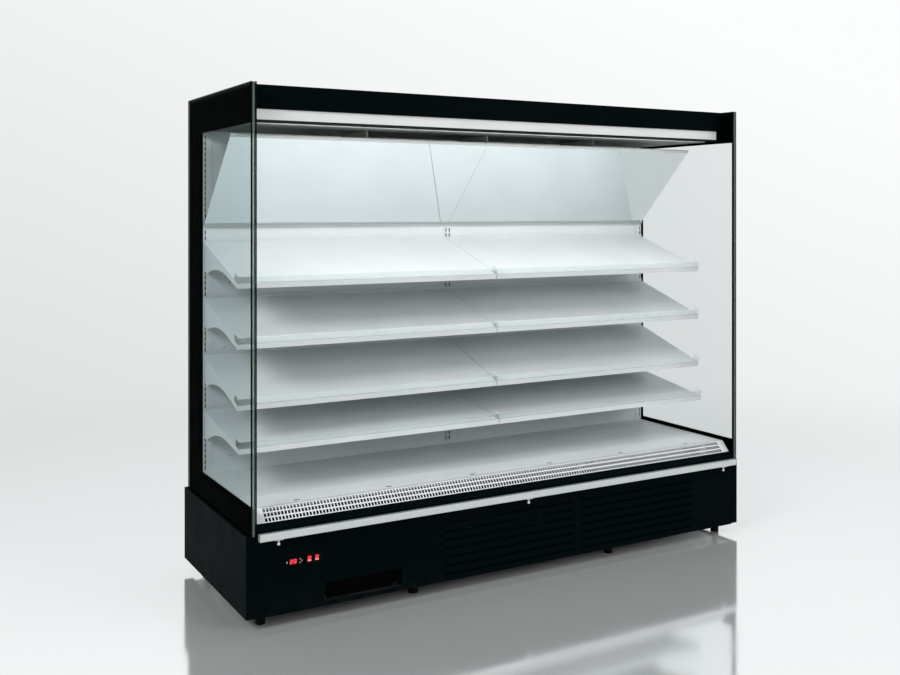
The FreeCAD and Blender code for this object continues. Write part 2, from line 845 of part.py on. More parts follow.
def build_end_glass():
    """Two panes each side, the spacer frame at their edge and the black band between them."""
    panes = []
    for side, sign in (("left", "-"), ("right", "")):
        for layer, near in (("inner", "half_length"), ("outer", "unit_outer - pane_thickness")):
            left = near
            right = near + " + pane_thickness"
            if sign:
                left, right = "-(" + right + ")", "-(" + left + ")"
            panes.append(box("pane_%s_%s" % (side, layer), left, right, "unit_front", "unit_back",
                             "base_height", "total_height"))
    group("end_glass_panes", panes)
    gap = "unit_thickness - 2 * pane_thickness"
    spacer = new_body("glass_spacers")
    sketch = lay_sketch(spacer, "spacer_frame", "YZ_Plane", "half_length + pane_thickness")
    front = "unit_front + spacer_width"
    back = "unit_back - spacer_width"
    low = "base_height + spacer_width"
    high = "total_height - spacer_width"
    add_outline(sketch, rectangle("unit_front", "unit_back", "base_height", "total_height"))
    add_outline(sketch, rectangle(front, back, low, high))
    ring = pad(spacer, sketch, gap)
    repeat(spacer, [ring], [("mirror", "YZ_Plane")])
    border = new_body("glass_borders")
    sketch = lay_sketch(border, "border_band", "YZ_Plane", "half_length + pane_thickness")
    add_outline(sketch, [
        (front, low), (back, low), (back, high), (front, high),
        (front, "total_height - border_top"), ("unit_back - border_back", "total_height - border_top"),
        ("unit_back - border_back", "base_height + border_bottom"),
        (front, "base_height + border_bottom")])
    band = pad(border, sketch, gap)
    repeat(border, [band], [("mirror", "YZ_Plane")])


# ---------------------------------------------------------------- front

def cover_outline(body, name, left, right):
    """Front sheet with a folded edge all round, and its inner hollow."""
    sketch = lay_sketch(body, name, "XZ_Plane", "0 - cover_front")
    add_outline(sketch, rectangle(left, right, "cover_bottom", "cover_top"))
    pad(body, sketch, "cover_depth", backwards=True)
    hollow = lay_sketch(body, name + "_hollow", "XZ_Plane", "0 - (cover_front + sheet)")
    add_outline(hollow, rectangle(left + " + sheet", right + " - sheet",
                                  "cover_bottom + sheet", "cover_top - sheet"))
    pocket(body, hollow, "cover_depth")


def build_left_cover():
    body = new_body("front_cover_left")
    cover_outline(body, "left_cover", "cover_gap - half_length", "seam - cover_gap / 2")
    cut = lay_sketch(body, "left_cutouts", "XZ_Plane", "0 - cover_front")
    add_outline(cut, centred("controller_across", "bezel_length / 2 - case_inset",
                             "controller_height", "bezel_height / 2 - case_inset"))
    add_outline(cut, centred("switch_across", "switch_frame_length / 2 - case_inset",
                             "switch_height", "switch_frame_height / 2 - case_inset"))
    pocket(body, cut, "sheet * 4", symmetric=True)
    slot = lay_sketch(body, "tray_slot", "XZ_Plane", "0 - cover_front")
    add_outline(slot, rectangle("slot_left", "slot_left + slot_length",
                                "slot_bottom", "slot_bottom + slot_height"))
    opening = pocket(body, slot, "sheet * 4", symmetric=True)
    ends = (value("slot_left"), value("slot_left + slot_length"))

    def slot_corner(edge):
        if not runs_along(edge, 1):
            return False
        point = edge.Vertexes[0].Point
        low = value("slot_bottom") - 1e-3 < point.z < value("slot_bottom + slot_height") + 1e-3
        return low and min(abs(point.x - end) for end in ends) < 1e-3

    fillet(body, opening, "slot_round", slot_corner)


def build_louvred_cover():
    """Cover with two fields of pressed louvres, each a slit under a hood that leans out."""
    body = new_body("front_cover_louvred")
    cover_outline(body, "louvred_cover", "seam + cover_gap / 2", "half_length - cover_gap")
    starts = ("seam + louvre_start", "seam + louvre_start + louvre_field_length + louvre_field_gap")
    slits = lay_sketch(body, "slits", "XZ_Plane", "0 - cover_front")
    for start in starts:
        add_outline(slits, rectangle(start, start + " + louvre_field_length",
                                     "louvre_first", "louvre_first + louvre_slit"))
    slit = pocket(body, slits, "sheet * 4", symmetric=True)
    hoods = []
    for index, start in enumerate(starts):
        hood = lay_sketch(body, "hood_%d" % index, "YZ_Plane", start)
        top = "louvre_first + louvre_slit"
        add_outline(hood, [
            ("cover_front", top), ("cover_front + sheet", top),
            ("cover_front + sheet", top + " - sheet"),
            ("cover_front - louvre_reach + sheet", "louvre_first + louvre_mouth"),
            ("cover_front - louvre_reach", "louvre_first + louvre_mouth")])
        hoods.append(pad(body, hood, "louvre_field_length"))
    repeat(body, [slit] + hoods, [
        ("line", "Z_Axis", "(louvre_count - 1) * louvre_pitch", "louvre_count")])


def build_front_rail():
    """Folded rail over the tub's front wall, from the bumper to the hem of the grille."""
    profile_body("front_rail", [
        ("rail_front", "bumper_bottom"), ("rail_front", "rail_step"),
        ("unit_front + rail_lip", "rail_top"), ("tub_inside", "rail_top"),
        ("tub_inside", "tub_wall_top"), ("tub_front", "tub_wall_top"),
        ("rail_front + rail_sheet", "rail_step - rail_sheet / 4"),
        ("rail_front + rail_sheet", "bumper_bottom")])


def build_bumper():
    body = new_body("bumper")
    length = "inner_length - 2 * bumper_end_gap"
    sketch = lay_sketch(body, "bumper_section", "YZ_Plane")
    add_outline(sketch, rectangle("bumper_front", "rail_front", "bumper_bottom", "bumper_top"))
    bar = pad(body, sketch, length, symmetric=True)
    front = value("bumper_front")

    def front_long(edge):
        return runs_along(edge, 0) and abs(edge.Vertexes[0].Y - front) < 1e-3

    fillet(body, bar, "bumper_round", front_long)
    hollow = lay_sketch(body, "bumper_hollow", "YZ_Plane")
    add_outline(hollow, rectangle(
        "bumper_front + bumper_wall", "rail_front - bumper_wall",
        "bumper_bottom + bumper_wall", "bumper_top - bumper_wall"))
    pocket(body, hollow, length + " + 10", symmetric=True)


def build_blind_hooks():
    """Three knobs on small plates under the bumper."""
    middle = "(bumper_front + rail_front) / 2"
    radius = value("hook_knob_radius")
    drop = value("hook_drop")
    plate = Part.makeBox(value("hook_plate_length"), value("hook_plate_width"), value("bumper_wall"))
    plate.translate(Vector(-value("hook_plate_length") / 2, -value("hook_plate_width") / 2,
                           -value("bumper_wall")))
    stem = Part.makeCylinder(value("hook_stem_radius"), drop, Vector(0, 0, -drop))
    ball = Part.makeSphere(radius, Vector(0, 0, -drop))
    hook = plate.fuse([stem, ball]).removeSplitter()
    hooks = []
    for across in ("-hook_spread", "0", "hook_spread"):
        place = Vector(value(across), value(middle), value("bumper_bottom"))
        hooks.append(hook.translated(place))
    feature("blind_hooks", Part.makeCompound(hooks))


def slot_columns(length, pitch):
    """Middle of each column of slots along a length that is centred on zero."""
    count = int(length // pitch)
    return [(index - (count - 1) / 2) * pitch for index in range(count)]


def slot_rows(columns, length, count):
    """Rows of grille slots, side by side along a strip of sheet of this length."""
    reach = value("grille_slot") / 2
    bridge = value("grille_bridge")
    pitch = length / count
    rings = []
    for row in range(count):
        base = row * pitch + bridge / 2
        rings += [ring_of(x - reach, x + reach, base, base + pitch - bridge) for x in columns]
    return rings


def grille_section(columns, low, crest):
    """One length of the grille, as long as a deck pan, from its hem to its tail."""
    half = value("(pan_length - grille_joint) / 2")
    thick = value("grille_sheet")
    rise = crest - low
    end = value("pan_start - pan_gap")
    depth = end - crest.y
    steep = slot_rows(columns, rise.Length, int(value("grille_steep_rows")))
    slope = plate_with_holes(ring_of(-half, half, 0, rise.Length), steep, -thick)
    slope.rotate(Vector(0, 0, 0), Vector(1, 0, 0), math.degrees(math.atan2(rise.z, rise.y)))
    slope.translate(low)
    flat = slot_rows(columns, depth, int(value("grille_flat_rows")))
    top = plate_with_holes(ring_of(-half, half, 0, depth), flat, -thick)
    top.translate(crest)
    tail = Part.makeBox(2 * half, thick, value("pan_flange"),
                        Vector(-half, end - thick, value("deck_height - pan_flange")))
    hem = Part.makeBox(2 * half, value("grille_hem_depth"), thick, Vector(-half, low.y, low.z - thick))
    return slope.fuse([top, tail, hem])


def build_return_grille():
    """Slotted sheets that rise from their hem over the return duct and lie back to the deck."""
    low = Vector(0, value("unit_front + grille_hem"), value("rail_top + grille_sheet"))
    crest = Vector(0, low.y + value("grille_rise_depth"), value("deck_height"))
    count = int(value("pan_count"))
    pitch = value("pan_length / grille_columns")
    columns = [(index + 0.5) * pitch - value("pan_length / 2")
               for index in range(int(value("grille_columns")))]
    left = grille_section(columns[int(value("grille_end_columns")):], low, crest)
    middle = grille_section(columns, low, crest)
    right = left.mirror(Vector(0, 0, 0), Vector(1, 0, 0))
    sections = []
    for index in range(count):
        section = left if index == 0 else right if index == count - 1 else middle
        across = (index + 0.5) * value("pan_length") - value("half_length")
        sections.append(section.translated(Vector(across, 0, 0)))
    feature("return_grille", Part.makeCompound(sections))


# ---------------------------------------------------------------- deck

def build_deck_pans():
    body = new_body("deck_pans")
    end = "pan_gap / 2 - half_length"
    back = "hook_line - pan_gap"
    sketch = lay_sketch(body, "pan_section", "YZ_Plane", end)
    low = "deck_height - pan_flange"
    add_outline(sketch, [
        ("pan_start", low), ("pan_start", "deck_height"), (back, "deck_height"),
        (back, "deck_under"), ("pan_start + pan_sheet", "deck_under"), ("pan_start + pan_sheet", low)])
    pan = pad(body, sketch, "pan_length - pan_gap")
    slot = lay_sketch(body, "finger_slot", "XY_Plane", "deck_height")
    middle = "pan_length / 2 - half_length"
    left = middle + " - finger_length / 2"
    right = middle + " + finger_length / 2"
    front = "finger_front"
    back = "finger_front + finger_width"
    add_outline(slot, [
        (left, front + " + finger_corner"), (left + " + finger_corner_run", front),
        (right + " - finger_corner_run", front), (right, front + " + finger_corner"),
        (right, back + " - finger_corner"), (right + " - finger_corner_run", back),
        (left + " + finger_corner_run", back), (left, back + " - finger_corner")])
    hole = pocket(body, slot, "pan_sheet * 4", symmetric=True)
    repeat(body, [pan, hole], [
        ("line", "X_Axis", "(pan_count - 1) * pan_length", "pan_count")])


def build_deck_rails():
    """Front rail on four posts, and an angle on the uprights, which carry the pans."""
    front = bare_body("deck_front_rail")
    sketch = lay_sketch(front, "front_rail_section", "YZ_Plane")
    edge = "finger_front + finger_width + rail_gap"
    add_outline(sketch, rectangle(edge, edge + " + rail_section", "deck_under - rail_section / 2",
                                  "deck_under"))
    pad(front, sketch, "inner_length - 2 * rail_end_gap", symmetric=True)
    posts = lay_sketch(front, "rail_posts", "XY_Plane", "tub_floor")
    spread = "rail_post_spread"
    for middle in ("-%s" % spread, "-%s / 3" % spread, "%s / 3" % spread, spread):
        add_outline(posts, rectangle(middle + " - rail_section / 2", middle + " + rail_section / 2",
                                     edge, edge + " + rail_section"))
    pad(front, posts, "deck_under - rail_section / 2 - tub_floor")
    back = "hook_line"
    rear = bare_profile("deck_rear_rail", [
        (back, "deck_under"), (back + " - rail_section", "deck_under"),
        (back + " - rail_section", "deck_under - angle_sheet"),
        (back + " - angle_sheet", "deck_under - angle_sheet"),
        (back + " - angle_sheet", "deck_under - rail_section"), (back, "deck_under - rail_section")],
        "inner_length - 2 * rail_end_gap")
    group("deck_rails", [front, rear])


# ---------------------------------------------------------------- uprights, panels, shelves

def build_uprights():
    """Three channels on the back wall, slotted for the shelf hooks."""
    posts = []
    for name, left, right in (
            ("left", "-half_length", "upright_width - half_length"),
            ("middle", "-upright_width / 2", "upright_width / 2"),
            ("right", "half_length - upright_width", "half_length")):
        body = bare_body("upright_" + name)
        sketch = lay_sketch(body, "channel_" + name, "XY_Plane", "tub_floor")
        wall = "upright_sheet"
        add_outline(sketch, [
            (left, "hook_line"), (right, "hook_line"), (right, "back_inner"),
            (right + " - " + wall, "back_inner"), (right + " - " + wall, "hook_line + " + wall),
            (left + " + " + wall, "hook_line + " + wall), (left + " + " + wall, "back_inner"),
            (left, "back_inner")])
        pad(body, sketch, "upright_top - tub_floor")
        slots = lay_sketch(body, "slots_" + name, "XZ_Plane", "0 - hook_line")
        for middle in bracket_middles():
            if not value(left) < value(middle) < value(right):
                continue
            add_outline(slots, rectangle(
                middle + " - upright_slot_width / 2", middle + " + upright_slot_width / 2",
                "first_slot", "first_slot + upright_slot_height"))
        cut = pocket(body, slots, "upright_sheet * 3", symmetric=True)
        repeat(body, [cut], [
            ("line", "Z_Axis", "(upright_slot_count - 1) * upright_slot_pitch", "upright_slot_count")])
        posts.append(body)
    group("uprights", posts)


def bracket_middles():
    """Middle planes of the four brackets of a level, from left to right."""
    near = "bracket_inset + bracket_thickness / 2"
    return ["%s - half_length" % near, "-(%s)" % near, near, "half_length - (%s)" % near]


def build_rear_panels():
    """Two sheets between the uprights, slotted behind the shelves, plain behind the mirror.

    Cold air rises behind them, passes over their top edges and leaves through the honeycomb.
    """
    low = value("deck_under")
    high = value("panel_top")
    length = value("half_length - 1.5 * upright_width - panel_gap")
    thick = value("panel_sheet")
    columns = slot_columns(length - 2 * value("panel_side_margin"), value("panel_slot_pitch"))
    reach = value("panel_slot_length") / 2
    rings = []
    for row in range(int(value("panel_slot_rows"))):
        base = value("panel_first_row") + row * value("panel_row_pitch")
        shift = value("panel_slot_pitch") / 4 * (-1) ** row
        rings += [ring_of(x + shift - reach, x + shift + reach, base, base + value("panel_slot_height"))
                  for x in columns]
    sheet_plate = plate_with_holes(ring_of(-length / 2, length / 2, 0, high - low), rings, -thick)
    sheet_plate.rotate(Vector(0, 0, 0), Vector(1, 0, 0), 90)
    tab = value("panel_tab")
    tab_depth = value("back_inner - hook_line - panel_setback")
    place_y = value("hook_line + panel_setback")
    panels = []
    for sign in (-1, 1):
        across = sign * value("(half_length - upright_width / 2) / 2")
        panel = sheet_plate.translated(Vector(across, place_y, low))
        for step in (-1, 0, 1):
            middle = across + step * (length / 2 - tab)
            panel = panel.fuse(Part.makeBox(tab, tab_depth, thick,
                                            Vector(middle - tab / 2, place_y, high - thick)))
        panels.append(panel)
    feature("rear_panels", Part.makeCompound(panels))


LEVELS = 4


def tilt(body, level, slope):
    """Hang a body on the hook line of a level, front down by its slope."""
    body.Placement = FreeCAD.Placement(Vector(0, 0, 0), FreeCAD.Rotation(Vector(1, 0, 0), value(slope)))
    body.setExpression("Placement.Rotation.Angle", formula(slope))
    body.setExpression("Placement.Base.y", formula("hook_line"))
    body.setExpression("Placement.Base.z", formula("low_level + %d * level_pitch" % (LEVELS - 1 - level)))


def riser_outline(left, right, front, play):
    """Plan of a riser along the front of a pan, with its two returns, grown inwards by a play."""
    thick = "(riser_thickness + %s)" % play
    end = front + " + riser_return + " + play
    return [
        (left, front), (right, front), (right, end), (right + " - " + thick, end),
        (right + " - " + thick, front + " + " + thick), (left + " + " + thick, front + " + " + thick),
        (left + " + " + thick, end), (left, end)]


def build_shelf(level, slope):
    """One level: two pans, their four side brackets and their two clear risers, seated in them.

    In the level's own frame the shelf is flat and reaches forward from its hook line."""
    number = level + 1
    end = "shelf_end_gap - half_length"
    section = "half_length - 1.5 * shelf_end_gap"
    pans = new_body("shelf_%d_pans" % number)
    sketch = lay_sketch(pans, "pan_%d" % number, "YZ_Plane", end)
    back = "-shelf_back_gap"
    front = "-shelf_depth"
    add_outline(sketch, [
        (front, "0"), (back + " - shelf_sheet", "0"), (back + " - shelf_sheet", "shelf_upstand"),
        (back, "shelf_upstand"), (back, "-shelf_sheet"),
        (front + " + shelf_sheet", "-shelf_sheet"), (front + " + shelf_sheet", "shelf_sheet - shelf_lip"),
        (front + " + shelf_lip_return", "shelf_sheet - shelf_lip"),
        (front + " + shelf_lip_return", "-shelf_lip"), (front, "-shelf_lip")])
    pan = pad(pans, sketch, section)
    seat_sketch = lay_sketch(pans, "riser_seat_%d" % number, "XY_Plane")
    right = end + " + " + section
    add_outline(seat_sketch, riser_outline(end, right, front, "riser_play"))
    seat = pocket(pans, seat_sketch, "riser_seat")
    repeat(pans, [pan, seat], [("mirror", "YZ_Plane")])
    tilt(pans, level, slope)

    brackets = new_body("shelf_%d_brackets" % number)
    pads = []
    for index, middle in enumerate(bracket_middles()[:2]):
        sketch = lay_sketch(brackets, "bracket_%d_%d" % (number, index), "YZ_Plane",
                            middle + " - bracket_thickness / 2")
        add_bracket_outline(sketch, slope)
        pads.append(pad(brackets, sketch, "bracket_thickness"))
    repeat(brackets, pads, [("mirror", "YZ_Plane")])
    tilt(brackets, level, slope)

    risers = new_body("shelf_%d_risers" % number)
    sketch = lay_sketch(risers, "riser_%d" % number, "XY_Plane", "-riser_seat")
    add_outline(sketch, riser_outline(end, right, front, "0"))
    riser = pad(risers, sketch, "riser_seat + riser_height")
    repeat(risers, [riser], [("mirror", "YZ_Plane")])
    tilt(risers, level, slope)


def add_bracket_outline(sketch, slope):
    """Side bracket: straight top, hook at the back, and a hollow curved lower edge."""
    top = "-shelf_sheet"
    rear = "-hook_gap / cos(%s) - hook_height * tan(%s)" % (slope, slope)
    foot = "-hook_gap / cos(%s) - bracket_height * tan(%s)" % (slope, slope)
    nose = "bracket_setback - shelf_depth"
    add_outline(sketch, [
        (nose, top), ("hook_length", top), ("hook_length", "-hook_height"), (rear, "-hook_height"),
        (foot, "-bracket_height"), (foot + " - bracket_heel", "-bracket_height"),
        ("-bracket_waist", "-bracket_nose - bracket_step"), (nose, "-bracket_nose")], 5, "bracket_curve")


# ---------------------------------------------------------------- mirror and canopy

def lean_mirror(body):
    """Lay a body along the mirror: its own Y runs down the glass, its own Z out of the back."""
    lean = "atan(mirror_rise / mirror_run)"
    body.Placement = FreeCAD.Placement(Vector(0, 0, 0), FreeCAD.Rotation(Vector(-1, 0, 0), value(lean)))
    body.setExpression("Placement.Rotation.Angle", formula(lean))
    body.setExpression("Placement.Base.y", formula("mirror_edge"))
    body.setExpression("Placement.Base.z", formula("mirror_top"))


def build_mirror():
    mirrors = new_body("mirrors")
    sketch = lay_sketch(mirrors, "mirror_glass", "YZ_Plane", "mirror_end_gap - half_length")
    add_outline(sketch, rectangle("0", "mirror_length", "0", "mirror_thickness"))
    glass = pad(mirrors, sketch, "half_length - mirror_end_gap - mirror_joint / 2")
    repeat(mirrors, [glass], [("mirror", "YZ_Plane")])
    lean_mirror(mirrors)
    channel = bare_profile("mirror_channel", [
        ("-channel_wall", "-channel_wall"), ("channel_lip", "-channel_wall"), ("channel_lip", "0"),
        ("0", "0"), ("0", "mirror_thickness"), ("channel_lip", "mirror_thickness"),
        ("channel_lip", "mirror_thickness + channel_wall"),
        ("-channel_wall", "mirror_thickness + channel_wall")], "inner_length - 2 * mirror_end_gap")
    lean_mirror(channel)
    ledge = bare_profile("mirror_ledge", [
        ("hook_line", "mirror_bottom - ledge_height"), ("hook_line", "mirror_bottom"),
        ("hook_line - ledge_depth", "mirror_bottom - ledge_sheet"),
        ("hook_line - ledge_depth", "mirror_bottom - 2 * ledge_sheet"),
        ("hook_line - ledge_sheet", "mirror_bottom - 2 * ledge_sheet"),
        ("hook_line - ledge_sheet", "mirror_bottom - ledge_height")], "inner_length - 2 * mirror_end_gap")
    group("mirror_channels", [channel, ledge])


def build_canopy():
    profile_body("canopy_fascia", [
        ("fascia_front", "fascia_bottom"), ("fascia_front", "total_height"),
        ("fascia_front + fascia_sheet", "total_height"),
        ("fascia_front + fascia_sheet", "fascia_bottom + fascia_sheet"),
        ("light_back", "fascia_bottom + fascia_sheet"), ("light_back", "fascia_bottom")])
    face = "underside_front + underside_sheet"
    hem = "comb_back + underside_sheet"
    flange = "underside_back - underside_sheet"
    profile_body("canopy_underside", [
        ("comb_back", "underside_front"), ("comb_back", "comb_top"), (hem, "comb_top"), (hem, face),
        (flange, face), (flange, "panel_top"), ("underside_back", "panel_top"),
        ("underside_back", "underside_front")], "inner_length - 2 * mirror_end_gap")
    hangers = bare_plates("canopy_hanger", [
        ("fascia_front + fascia_sheet", "roof_bottom"),
        ("fascia_front + fascia_sheet", "fascia_bottom + fascia_sheet"),
        ("light_back", "fascia_bottom + fascia_sheet"), ("light_back", "comb_top"),
        (hem, "comb_top"), (hem, face), (flange, face), (flange, "roof_bottom")])
    top = "mirror_thickness + 2 * channel_wall"
    slant = "mirror_rise / mirror_run"
    seat = "(mirror_thickness + channel_wall + brace_gap) * mirror_length / mirror_run"
    holders = bare_plates("mirror_holder", [
        ("mirror_edge + " + top, "underside_front"),
        ("mirror_edge + " + top, "mirror_top - (%s) * %s + %s" % (top, slant, seat)),
        ("mirror_edge + brace_depth", "mirror_top - brace_depth * %s + %s" % (slant, seat)),
        ("mirror_edge + brace_depth", "underside_front")])
    group("canopy_braces", [hangers, holders])


def bare_plates(name, outline):
    """Three upright plates of one outline, in the middle and at the quarters of the length."""
    plates = bare_body(name)
    sketch = lay_sketch(plates, name + "_outline", "YZ_Plane", "-quarter_length - brace_sheet / 2")
    add_outline(sketch, outline)
    plate = pad(plates, sketch, "brace_sheet")
    repeat(plates, [plate], [("line", "X_Axis", "2 * quarter_length", "3")])
    return plates


def build_light():
    """LED light strip hung from the fascia: housing open to the back, diffuser, end caps."""
    wall = "light_wall"
    housing = bare_profile("light_housing", [
        ("light_front", "light_bottom"), ("light_front", "fascia_bottom"),
        ("light_back", "fascia_bottom"), ("light_back", "fascia_bottom - " + wall),
        ("light_front + " + wall, "fascia_bottom - " + wall),
        ("light_front + " + wall, "light_bottom + " + wall), ("light_back", "light_bottom + " + wall),
        ("light_back", "light_bottom")], "2 * light_end")
    face = "light_back - diffuser_setback"
    keep(box("diffuser_strip", "diffuser_end_gap - light_end", "light_end - diffuser_end_gap",
             face + " - diffuser_thickness", face, "light_bottom + light_wall",
             "fascia_bottom - light_wall"), "light_diffuser")
    solids = [housing]
    for name, left in (("left", "-light_end - light_cap"), ("right", "light_end")):
        solids.append(box("light_cap_" + name, left, "(%s) + light_cap" % left,
                          "light_front - light_cap_proud", "light_back",
                          "light_bottom - light_cap_proud", "fascia_bottom"))
    group("light_housing", solids)


def build_honeycomb():
    """Hexagon air straighteners in their rims, side by side across the canopy's air outlet."""
    cell = value("comb_cell")
    wall = value("comb_wall")
    half = value("(pan_length - comb_joint) / 2")
    depth = value("comb_depth")
    radius = (cell - wall) / math.sqrt(3)
    row_pitch = cell * math.sqrt(3) / 2
    rows = int((depth - 2 * wall - 2 * radius) // row_pitch) + 1
    margin = (depth - (rows - 1) * row_pitch) / 2
    angles = [math.radians(60 * corner + 30) for corner in range(6)]
    rings = []
    for row in range(rows):
        for across in slot_columns(2 * half - cell, cell):
            middle = across + cell / 4 * (-1) ** row
            rings.append([(middle + radius * math.cos(angle),
                           margin + row * row_pitch + radius * math.sin(angle)) for angle in angles])
    comb = plate_with_holes(ring_of(-half, half, 0, depth), rings, value("comb_thickness"))
    panels = []
    for index in range(int(value("pan_count"))):
        across = (index + 0.5) * value("pan_length") - value("half_length")
        panels.append(comb.translated(Vector(across, value("light_back"), value("comb_bottom"))))
    feature("air_honeycomb", Part.makeCompound(panels))


# ---------------------------------------------------------------- fans

def rotor_shape(radius):
    """Fan rotor on the Y axis: hub with a shaft bore and twisted blades."""
    hub_radius = radius * value("hub_share")
    depth = value("blade_depth")
    thick = value("blade_thickness")
    bore = value("shaft_radius + shaft_play")
    axis = Vector(0, 1, 0)
    hub = Part.makeCylinder(hub_radius, depth, Vector(0, -depth / 2, 0), axis)
    blades = []
    for blade in range(int(value("blade_count"))):
        sections = []
        root = hub_radius - thick
        for reach, chord, pitch in ((root, root, value("blade_root_pitch")),
                                    (radius, radius * value("blade_share"), value("blade_tip_pitch"))):
            corners = ring_of(-chord / 2, chord / 2, -thick / 2, thick / 2)
            ring = Part.makePolygon([Vector(x, y, 0) for x, y in corners + corners[:1]])
            ring.rotate(Vector(0, 0, 0), Vector(0, 0, 1), pitch)
            ring.translate(Vector(0, 0, reach))
            sections.append(ring)
        wing = Part.makeLoft(sections, True)
        wing.rotate(Vector(0, 0, 0), axis, 360 * blade / value("blade_count"))
        blades.append(wing)
    rotor = hub.fuse(blades)
    trim = Part.makeCylinder(radius, 2 * depth, Vector(0, -depth, 0), axis)
    hole = Part.makeCylinder(bore, depth, Vector(0, value("hub_wall") - depth / 2, 0), axis)
    return rotor.common(trim).cut(hole).removeSplitter()


def motor_shape(radius):
    """Fan motor on a bridge that straddles the rotor; the fan plate's back face is at y = 0."""
    half = radius + value("fan_tip_gap + bridge_margin")
    reach = value("bridge_foot")
    rise = value("bridge_height")
    thick = value("sheet")
    width = value("bridge_width")
    tip = value("hub_wall + shaft_end_gap - blade_depth / 2")
    axis = Vector(0, 1, 0)
    parts = [Part.makeBox(2 * half, thick, width, Vector(-half, rise - thick, -width / 2))]
    for side in (-1, 1):
        left = half - thick if side > 0 else -half
        parts.append(Part.makeBox(thick, rise, width, Vector(left, 0, -width / 2)))
        foot = half - reach if side > 0 else -half
        parts.append(Part.makeBox(reach, thick, width, Vector(foot, 0, -width / 2)))
    parts.append(Part.makeCylinder(value("motor_radius"), value("motor_length"),
                                   Vector(0, rise - thick, 0), axis))
    parts.append(Part.makeCylinder(value("shaft_radius"), rise - thick - tip, Vector(0, tip, 0), axis))
    return parts[0].fuse(parts[1:]).removeSplitter()


def fan_places():
    """Name, radius, centre on the back face of its plate, of each fan."""
    places = []
    for number, side in ((1, "-"), (2, "")):
        places.append(("evaporator_fan_%d" % number, "cold_fan_radius",
                       side + "quarter_length", "fan_plate + sheet", "cold_fan_height"))
    for number, side in ((1, "-"), (2, "+")):
        places.append(("condenser_fan_%d" % number, "warm_fan_radius",
                       "condenser_centre " + side + " warm_fan_spread", "shroud_back", "warm_fan_height"))
    return places


def build_fans():
    rotors = {name: rotor_shape(value(name)) for name in ("cold_fan_radius", "warm_fan_radius")}
    motors = []
    for label, radius, across, depth, height in fan_places():
        middle = Vector(value(across), value(depth), value(height))
        feature(label, rotors[radius], FreeCAD.Placement(middle, FreeCAD.Rotation()))
        motors.append(motor_shape(value(radius)).translated(middle))
    feature("fan_motors", Part.makeCompound(motors))


def build_fan_plate():
    body = new_body("fan_plate")
    sketch = lay_sketch(body, "fan_sheet", "XZ_Plane", "0 - fan_plate")
    add_outline(sketch, rectangle("fan_plate_end_gap - half_length", "half_length - fan_plate_end_gap",
                                  "tub_floor", "deck_under"))
    for side in ("-", ""):
        add_circle(sketch, side + "quarter_length", "cold_fan_height", "cold_fan_radius + fan_tip_gap")
    pad(body, sketch, "sheet", backwards=True)


def build_evaporator():
    """Finned coil between two end plates."""
    body = new_body("evaporator")
    sketch = lay_sketch(body, "coil_block", "XY_Plane", "tub_floor + coil_lift")
    add_outline(sketch, rectangle("-coil_half_length", "coil_half_length", "coil_front",
                                  "coil_front + coil_depth"))
    pad(body, sketch, "coil_height")
    ends = lay_sketch(body, "coil_ends", "XY_Plane", "tub_floor")
    front = "coil_front - coil_plate_proud"
    back = "coil_front + coil_depth + coil_plate_proud"
    add_outline(ends, rectangle("-coil_half_length - coil_plate", "-coil_half_length", front, back))
    add_outline(ends, rectangle("coil_half_length", "coil_half_length + coil_plate", front, back))
    pad(body, ends, "coil_height + 2 * coil_lift")
    groove = lay_sketch(body, "coil_groove_cut", "XY_Plane", "tub_floor + coil_lift")
    start = "coil_groove_inset - coil_half_length"
    add_outline(groove, rectangle(start, start + " + coil_groove", "coil_front",
                                  "coil_front + coil_groove_depth"))
    cut = pocket(body, groove, "coil_height", backwards=True)
    repeat(body, [cut], [
        ("line", "X_Axis", "2 * (coil_half_length - coil_groove_inset) - coil_groove",
         "coil_groove_count")])


# ---------------------------------------------------------------- condensing unit

def build_condenser():
    """Finned coil with a shroud behind it that holds the fans."""
    left = "condenser_left"
    right = "condenser_right"
    margin = "condenser_groove_margin"
    body = bare_body("condenser_coil")
    sketch = lay_sketch(body, "condenser_block", "XY_Plane", "base_top")
    add_outline(sketch, rectangle(left, right, "condenser_front", "condenser_back"))
    pad(body, sketch, "condenser_height")
    groove = lay_sketch(body, "condenser_fins", "XY_Plane", "base_top + " + margin)
    start = left + " + condenser_groove_inset"
    add_outline(groove, rectangle(start, start + " + condenser_groove", "condenser_front",
                                  "condenser_front + condenser_groove_depth"))
    cut = pocket(body, groove, "condenser_height - 2 * " + margin, backwards=True)
    repeat(body, [cut], [
        ("line", "X_Axis", "condenser_length - 2 * condenser_groove_inset - condenser_groove",
         "condenser_groove_count")])

    shroud = bare_body("condenser_shroud")
    sketch = lay_sketch(shroud, "shroud_block", "XZ_Plane", "0 - condenser_back")
    low = "base_top"
    high = "base_top + condenser_height"
    add_outline(sketch, rectangle(left, right, low, high))
    pad(shroud, sketch, "shroud_depth", backwards=True)
    hollow = lay_sketch(shroud, "shroud_hollow", "XZ_Plane", "0 - condenser_back")
    add_outline(hollow, rectangle(left + " + sheet", right + " - sheet", low + " + sheet", high + " - sheet"))
    pocket(shroud, hollow, "shroud_depth - sheet")
    holes = lay_sketch(shroud, "shroud_holes", "XZ_Plane", "0 - shroud_back")
    for side in ("-", "+"):
        add_circle(holes, "condenser_centre %s warm_fan_spread" % side, "warm_fan_height",
                   "warm_fan_radius + fan_tip_gap")
    pocket(shroud, holes, "sheet * 4", symmetric=True)
    group("condenser", [body, shroud])


